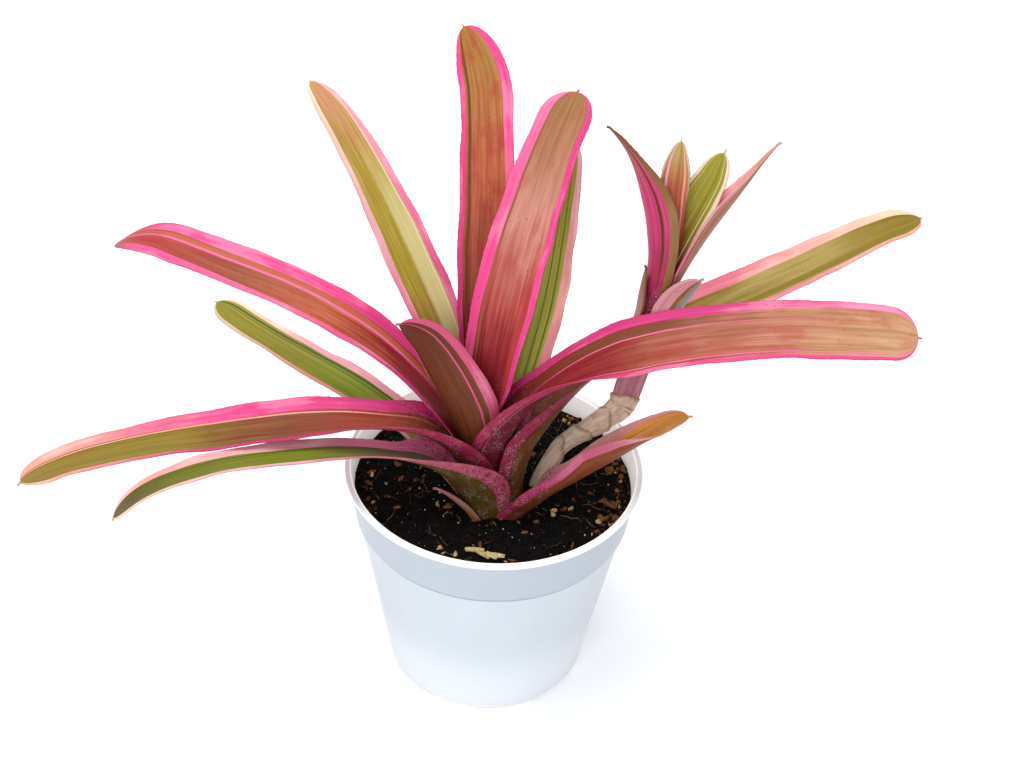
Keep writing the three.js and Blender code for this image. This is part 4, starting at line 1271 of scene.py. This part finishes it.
def soil_body():
    """The mix itself, level at the wall and lumpy elsewhere."""
    bottom = POT["channel_depth"] + POT["wall"] + MIX["floor_gap"]
    top = [(MIX["top_radius"] * (1 - i / MIX["rings"]), MIX["top"]) for i in range(MIX["rings"])]
    piece = turned(
        [(MIX["foot_radius"], bottom), (MIX["step_radius"], MIX["step_height"]), *top], MIX["sides"])
    for vertex in piece.data.vertices:
        if vertex.co.z > (MIX["top"] - 1) * MM:
            x, y = vertex.co.x / MM, vertex.co.y / MM
            level_from = MIX["top_radius"] - MIX["level_band"]
            lumpy = 1 - smoothstep(math.hypot(x, y), level_from, MIX["top_radius"])
            vertex.co.z += mix_height(x, y) * float(lumpy) * MM
    smooth(piece, 60)
    keep(piece, "potting_mix", grain_finish("soil"), "soil", "soil")


def crumb_shape(detail):
    """The corners and faces of a round little lump of unit size."""
    start_alone()
    bpy.ops.mesh.primitive_ico_sphere_add(subdivisions=detail, radius=1)
    lump = bpy.context.object
    corners = np.array([vertex.co[:] for vertex in lump.data.vertices])
    faces = [tuple(polygon.vertices) for polygon in lump.data.polygons]
    bpy.data.objects.remove(lump)
    return corners, faces


def scattered(
        draw, material, name, detail, count, sizes, flatness, lift, near=14.5, far=55.5, inside=0,
        sector=(0, 360)):
    """Many loose lumps on the mix as one piece. Each has its own size, shape and turn."""
    corners, faces = crumb_shape(detail)
    all_corners = []
    all_faces = []
    made = 0
    while made < count:
        angle = math.radians(draw.uniform(*sector))
        distance = math.sqrt(inside**2 + (far**2 - inside**2) * draw.random())
        x, y = distance * math.cos(angle), distance * math.sin(angle)
        if from_rosette(x, y) < near:
            continue
        size = sizes[0] * (sizes[1] / sizes[0]) ** draw.random()
        shape = np.array([
            corner * (1 + 0.6 * noise.noise(Vector(corner) * 1.3 + Vector((made, 3 * made, 0))))
            for corner in corners
        ])
        shape *= np.array((1, draw.uniform(*flatness), draw.uniform(*flatness)))
        turn = Matrix.Rotation(draw.uniform(0, 6.3), 3, "Z")
        turn = turn @ Matrix.Rotation(draw.uniform(-0.5, 0.5), 3, "X")
        shape = shape @ np.array(turn).T * size + np.array((x, y, mix_top(x, y) + lift * size))
        offset = made * len(corners)
        all_corners.append(shape * MM)
        all_faces.extend(tuple(offset + corner for corner in face) for face in faces)
        made += 1
    piece = piece_from(name, np.vstack(all_corners).tolist(), all_faces)
    smooth(piece, 50)
    keep(piece, name, material, "soil")


def fibre_line(draw):
    """Points of one fibre that wanders over the mix, as far as it stays clear of stem and wall."""
    angle = draw.uniform(0, 2 * math.pi)
    distance = FIBRES["spread"] * math.sqrt(draw.random())
    x, y = distance * math.cos(angle), distance * math.sin(angle)
    heading = draw.uniform(0, 2 * math.pi)
    step = draw.uniform(FIBRES["least_length"], FIBRES["most_length"]) / FIBRES["steps"]
    points = []
    for _ in range(FIBRES["steps"] + 1):
        heading += draw.uniform(-FIBRES["bend"], FIBRES["bend"])
        x += step * math.cos(heading)
        y += step * math.sin(heading)
        if math.hypot(x, y) > FIBRES["wall_limit"] or from_rosette(x, y) < FIBRES["stem_limit"]:
            break
        points.append((x, y, mix_top(x, y) + FIBRES["lift"] + draw.uniform(0, FIBRES["lift"])))
    return points


def fibres(draw):
    """Fine roots and fibres that lie on the mix."""
    all_corners = []
    all_faces = []
    for _ in range(FIBRES["count"]):
        points = fibre_line(draw)
        if len(points) < 3:
            continue
        thickness = draw.uniform(FIBRES["least_radius"], FIBRES["most_radius"])
        last = len(points) - 1
        radii = [thickness * (1 - FIBRES["taper"] * abs(2 * i / last - 1)) for i in range(len(points))]
        corners, faces = thread(points, radii, 4)
        all_faces.extend(tuple(len(all_corners) + corner for corner in face) for face in faces)
        all_corners.extend(corner * MM for corner in corners)
    piece = piece_from("root_fibres", all_corners, all_faces)
    smooth(piece, 70)
    keep(piece, "root_fibres", grain_finish("fibre"), "soil")


def splinter(draw, i):
    """One straw splinter: a bar with torn ends and a ragged face."""
    start_alone()
    x = SPLINTERS["x"] + SPLINTERS["x_pitch"] * i + draw.uniform(-0.8, 0.8)
    y = SPLINTERS["y"] + SPLINTERS["y_pitch"] * i + draw.uniform(-0.7, 0.7)
    bpy.ops.mesh.primitive_cube_add(size=1)
    piece = bpy.context.object
    bpy.ops.object.mode_set(mode="EDIT")
    bpy.ops.mesh.subdivide(number_cuts=SPLINTERS["cuts"])
    bpy.ops.object.mode_set(mode="OBJECT")
    long, wide, thick = draw.uniform(5, 8), draw.uniform(1.1, 1.9), draw.uniform(0.4, 0.7)
    heading = SPLINTERS["turn"] + draw.uniform(-SPLINTERS["turn_spread"], SPLINTERS["turn_spread"])
    turn = Matrix.Rotation(math.radians(heading), 3, "Z")
    tilt = Matrix.Rotation(draw.uniform(-0.12, 0.12), 3, "Y")
    tilt = tilt @ Matrix.Rotation(draw.uniform(-0.5, 0.5), 3, "X")
    place = Vector((x, y, mix_top(x, y) + SPLINTERS["lift"] + SPLINTERS["lift_pitch"] * i))
    for vertex in piece.data.vertices:
        corner = vertex.co.copy()
        tear = 0.4 + abs(noise.noise(Vector((corner.y * 5, i, corner.x))))
        torn = 1 - 0.55 * abs(2 * corner.x) ** 3 * tear
        ragged = 0.35 * noise.noise(Vector((corner.x * 3, corner.y * 7, 2.0 * i)))
        shape = (corner.x * long * (1 + 0.3 * ragged), corner.y * wide * torn, corner.z * thick + ragged)
        vertex.co = (turn @ tilt @ Vector(shape) + place) * MM
    return piece


def dry_stick():
    """Straw splinters at the front of the mix: flat, split and lying over each other."""
    draw = random.Random(5)
    piece = joined([splinter(draw, i) for i in range(SPLINTERS["count"])])
    smooth(piece, 35)
    keep(piece, "dry_stick", grain_finish("straw"), "soil")


def potting_mix():
    soil_body()
    materials = {name: grain_finish(name) for name in ("peat", "brown_peat", "bark", "clay", "perlite")}

    def scatter_all(draw, table):
        for entry in table:
            bits = {key: value for key, value in entry.items() if key != "grains"}
            scattered(draw, materials[entry["grains"]], **bits)

    over_all = random.Random(11)
    scatter_all(over_all, LOOSE_BITS)
    fibres(over_all)
    scatter_all(random.Random(31), BITS_ALONG_WALL)
    dry_stick()


# ------------------------------------------------------------------ stems


def smooth_path(points, count):
    """Evenly numbered points of a smooth curve through the given ones."""
    points = [Vector(point) for point in points]
    points = [2 * points[0] - points[1], *points, 2 * points[-1] - points[-2]]
    made = []
    spans = len(points) - 3
    for i in range(count):
        place = i / (count - 1) * spans
        k = min(int(place), spans - 1)
        t = place - k
        a, b, c, d = points[k:k + 4]
        made.append(0.5 * ((2 * b) + (c - a) * t + (2 * a - 5 * b + 4 * c - d) * t**2
                           + (3 * b - a - 3 * c + d) * t**3))
    return made


def wrapped_sheet(path, base_radius, flare, turn):
    """A bract wrapped round a path. Its rim runs out to a point on one side."""
    start_alone()
    bpy.ops.mesh.primitive_grid_add(
        x_subdivisions=BRACT["columns"] - 1, y_subdivisions=BRACT["rows"] - 1, size=2)
    piece = bpy.context.object
    mesh = piece.data
    mesh.uv_layers.active.name = "blade"
    side = Vector((0, 1, 0))
    for vertex in mesh.vertices:
        around = vertex.co.x
        up = (vertex.co.y + 1) / 2
        rim = 1 - BRACT["slant"] * abs(around) ** 1.3 + BRACT["point"] * max(0, 1 - 5 * abs(around))
        place = min(max(up * rim, 0), 1) * (len(path) - 1)
        k = min(int(place), len(path) - 2)
        point = path[k].lerp(path[k + 1], place - k)
        tangent = (path[k + 1] - path[k]).normalized()
        across = (side - tangent * side.dot(tangent)).normalized()
        over = across.cross(tangent).normalized()
        angle = math.pi * BRACT["wrap"] * around + math.radians(turn)
        wrinkle = BRACT["wrinkle"] * noise.noise(Vector((around * 5, up * 3, base_radius)))
        radius = base_radius + flare * up**2 + BRACT["spiral"] * abs(around) + wrinkle
        vertex.co = (point + radius * (across * math.sin(angle) + over * math.cos(angle))) * MM
    apply_modifier(piece, "SOLIDIFY", thickness=BRACT["thickness"] * MM, offset=0.0)
    smooth(piece, 55)
    return piece


def stolon_piece():
    """The stolon: a smooth runner sheathed in papery bracts that overlap."""
    path = smooth_path(STOLON_PATH, STOLON["points"])
    last = len(path) - 1
    radii = [STOLON["foot_radius"] + STOLON["widening"] * (i / last) for i in range(len(path))]
    core = tube("stolon_core", path, radii, STOLON["sides"])
    keep(core, "stolon_core", papery_finish("stolon_core"), "stolon")

    stem_foot, stem_top = young_stem_ends()
    upward = (stem_top - stem_foot).normalized() * STOLON["run_on_pitch"]
    sheathed = path + [stem_foot + upward * i for i in range(1, STOLON["run_on"] + 1)]
    places = STOLON["bract_places"]
    sheets = []
    for k in range(len(places) - 1):
        end = min(len(sheathed), places[k + 1] + STOLON["overlap"])
        sheets.append(wrapped_sheet(
            sheathed[places[k]:end], BRACT["radius"] + BRACT["radius_gain"] * k,
            BRACT["flare"] - BRACT["flare_loss"] * k, BRACT["turn"] + BRACT["turn_change"] * (k % 2)))
    keep(joined(sheets), "stolon_bracts", papery_finish("bract", 0.6, 0.6), "stolon", "stolon")


def young_stem_ends():
    """The lowest and highest point of the young stem's axis, in millimetres."""
    place = leaning(YOUNG)
    foot = place @ Vector((0, 0, -YOUNG_STEM["length"] * MM)) / MM
    top = place @ Vector((0, 0, YOUNG_STEM["top"] * MM)) / MM
    return foot, top


def young_stem_piece():
    """The young rosette's stem: it swells a little and narrows again inside the leaves."""
    foot, top = young_stem_ends()
    shares = [i / YOUNG_STEM["steps"] for i in range(YOUNG_STEM["steps"] + 1)]
    path = [foot.lerp(top, share) for share in shares]
    narrow_from = YOUNG_STEM["narrow_from"]
    radii = [
        YOUNG_STEM["foot_radius"] + YOUNG_STEM["swell"] * share
        - YOUNG_STEM["narrowing"] * max(0, share - narrow_from) / (1 - narrow_from)
        for share in shares
    ]
    core = tube("young_stem_core", path, radii, YOUNG_STEM["sides"])
    keep(core, "young_stem_core", papery_finish("young_stem", 0.4), "young_stem", "young_stem")


def main_stem_piece():
    """The short stem inside the sheaths."""
    piece = turned(STEM_PROFILE, STEM_SIDES)
    piece.data.transform(leaning(ROSETTE))
    smooth(piece, 50)
    keep(piece, "stem_core", grain_finish("stem"), "stem", "stem")


# ------------------------------------------------------------------ stage, light and camera


def white_floor():
    start_alone()
    bpy.ops.mesh.primitive_plane_add(size=FLOOR_SIZE)
    plane = bpy.context.object
    plane.name = "floor"
    finish = Finish(
        "floor", Base_Color=tint(252, 253, 255), Roughness=0.9, Specular_IOR_Level=0.1,
        Emission_Color=(0.95, 0.98, 1, 1), Emission_Strength=0.16)
    plane.data.materials.append(finish.material)


def sky():
    world = bpy.data.worlds.new("studio")
    bpy.context.scene.world = world
    world.use_nodes = True
    background = world.node_tree.nodes["Background"]
    background.inputs["Color"].default_value = (0.96, 0.98, 1.0, 1)
    background.inputs["Strength"].default_value = SKY_STRENGTH


def lamp(name, place, size, power):
    """A round soft lamp that points at the plant."""
    light = bpy.data.lights.new(name, "AREA")
    light.shape = "DISK"
    light.size = size
    light.energy = power
    holder = bpy.data.objects.new(name, light)
    bpy.context.scene.collection.objects.link(holder)
    holder.location = place
    holder.rotation_euler = (Vector(LAMP_AIM) - Vector(place)).to_track_quat("-Z", "Y").to_euler()


def camera():
    """The camera looks down at the plant from the front and is rolled a little."""
    rise = math.radians(CAMERA["elevation"])
    roll = math.radians(CAMERA["roll"])
    forward = Vector((0, math.cos(rise), -math.sin(rise)))
    level = Vector((1, 0, 0))
    upright = Vector((0, math.sin(rise), math.cos(rise)))
    right = level * math.cos(roll) + upright * math.sin(roll)
    up = upright * math.cos(roll) - level * math.sin(roll)
    data = bpy.data.cameras.new("camera")
    data.sensor_width = CAMERA["sensor"]
    data.lens = CAMERA["lens"]
    data.clip_start = 0.01
    data.clip_end = 20
    eye = bpy.data.objects.new("camera", data)
    bpy.context.scene.collection.objects.link(eye)
    turn = Matrix((right, up, -forward)).transposed().to_4x4()
    place = Vector(CAMERA["target"]) - forward * CAMERA["distance"]
    eye.matrix_world = Matrix.Translation(place * MM) @ turn
    bpy.context.scene.camera = eye


# ------------------------------------------------------------------ assembly

camera()
white_floor()
sky()
for name, settings in LAMPS.items():
    lamp(name, **settings)
pot_body()
potting_mix()
main_stem_piece()
for number, entry in enumerate(LEAVES):
    add_leaf(entry, INNER_SHEATH_RADIUS, leaning(ROSETTE), 3.1 * number + 1)
add_leaf(DRIED_SCALE, INNER_SHEATH_RADIUS, leaning(ROSETTE), 50.0, 9)
for number, entry in enumerate(YOUNG_LEAVES):
    add_leaf(entry, YOUNG_INNER_SHEATH_RADIUS, leaning(YOUNG), 4.7 * number + 60)
stolon_piece()
young_stem_piece()
bpy.context.scene.view_settings.view_transform = "Standard"
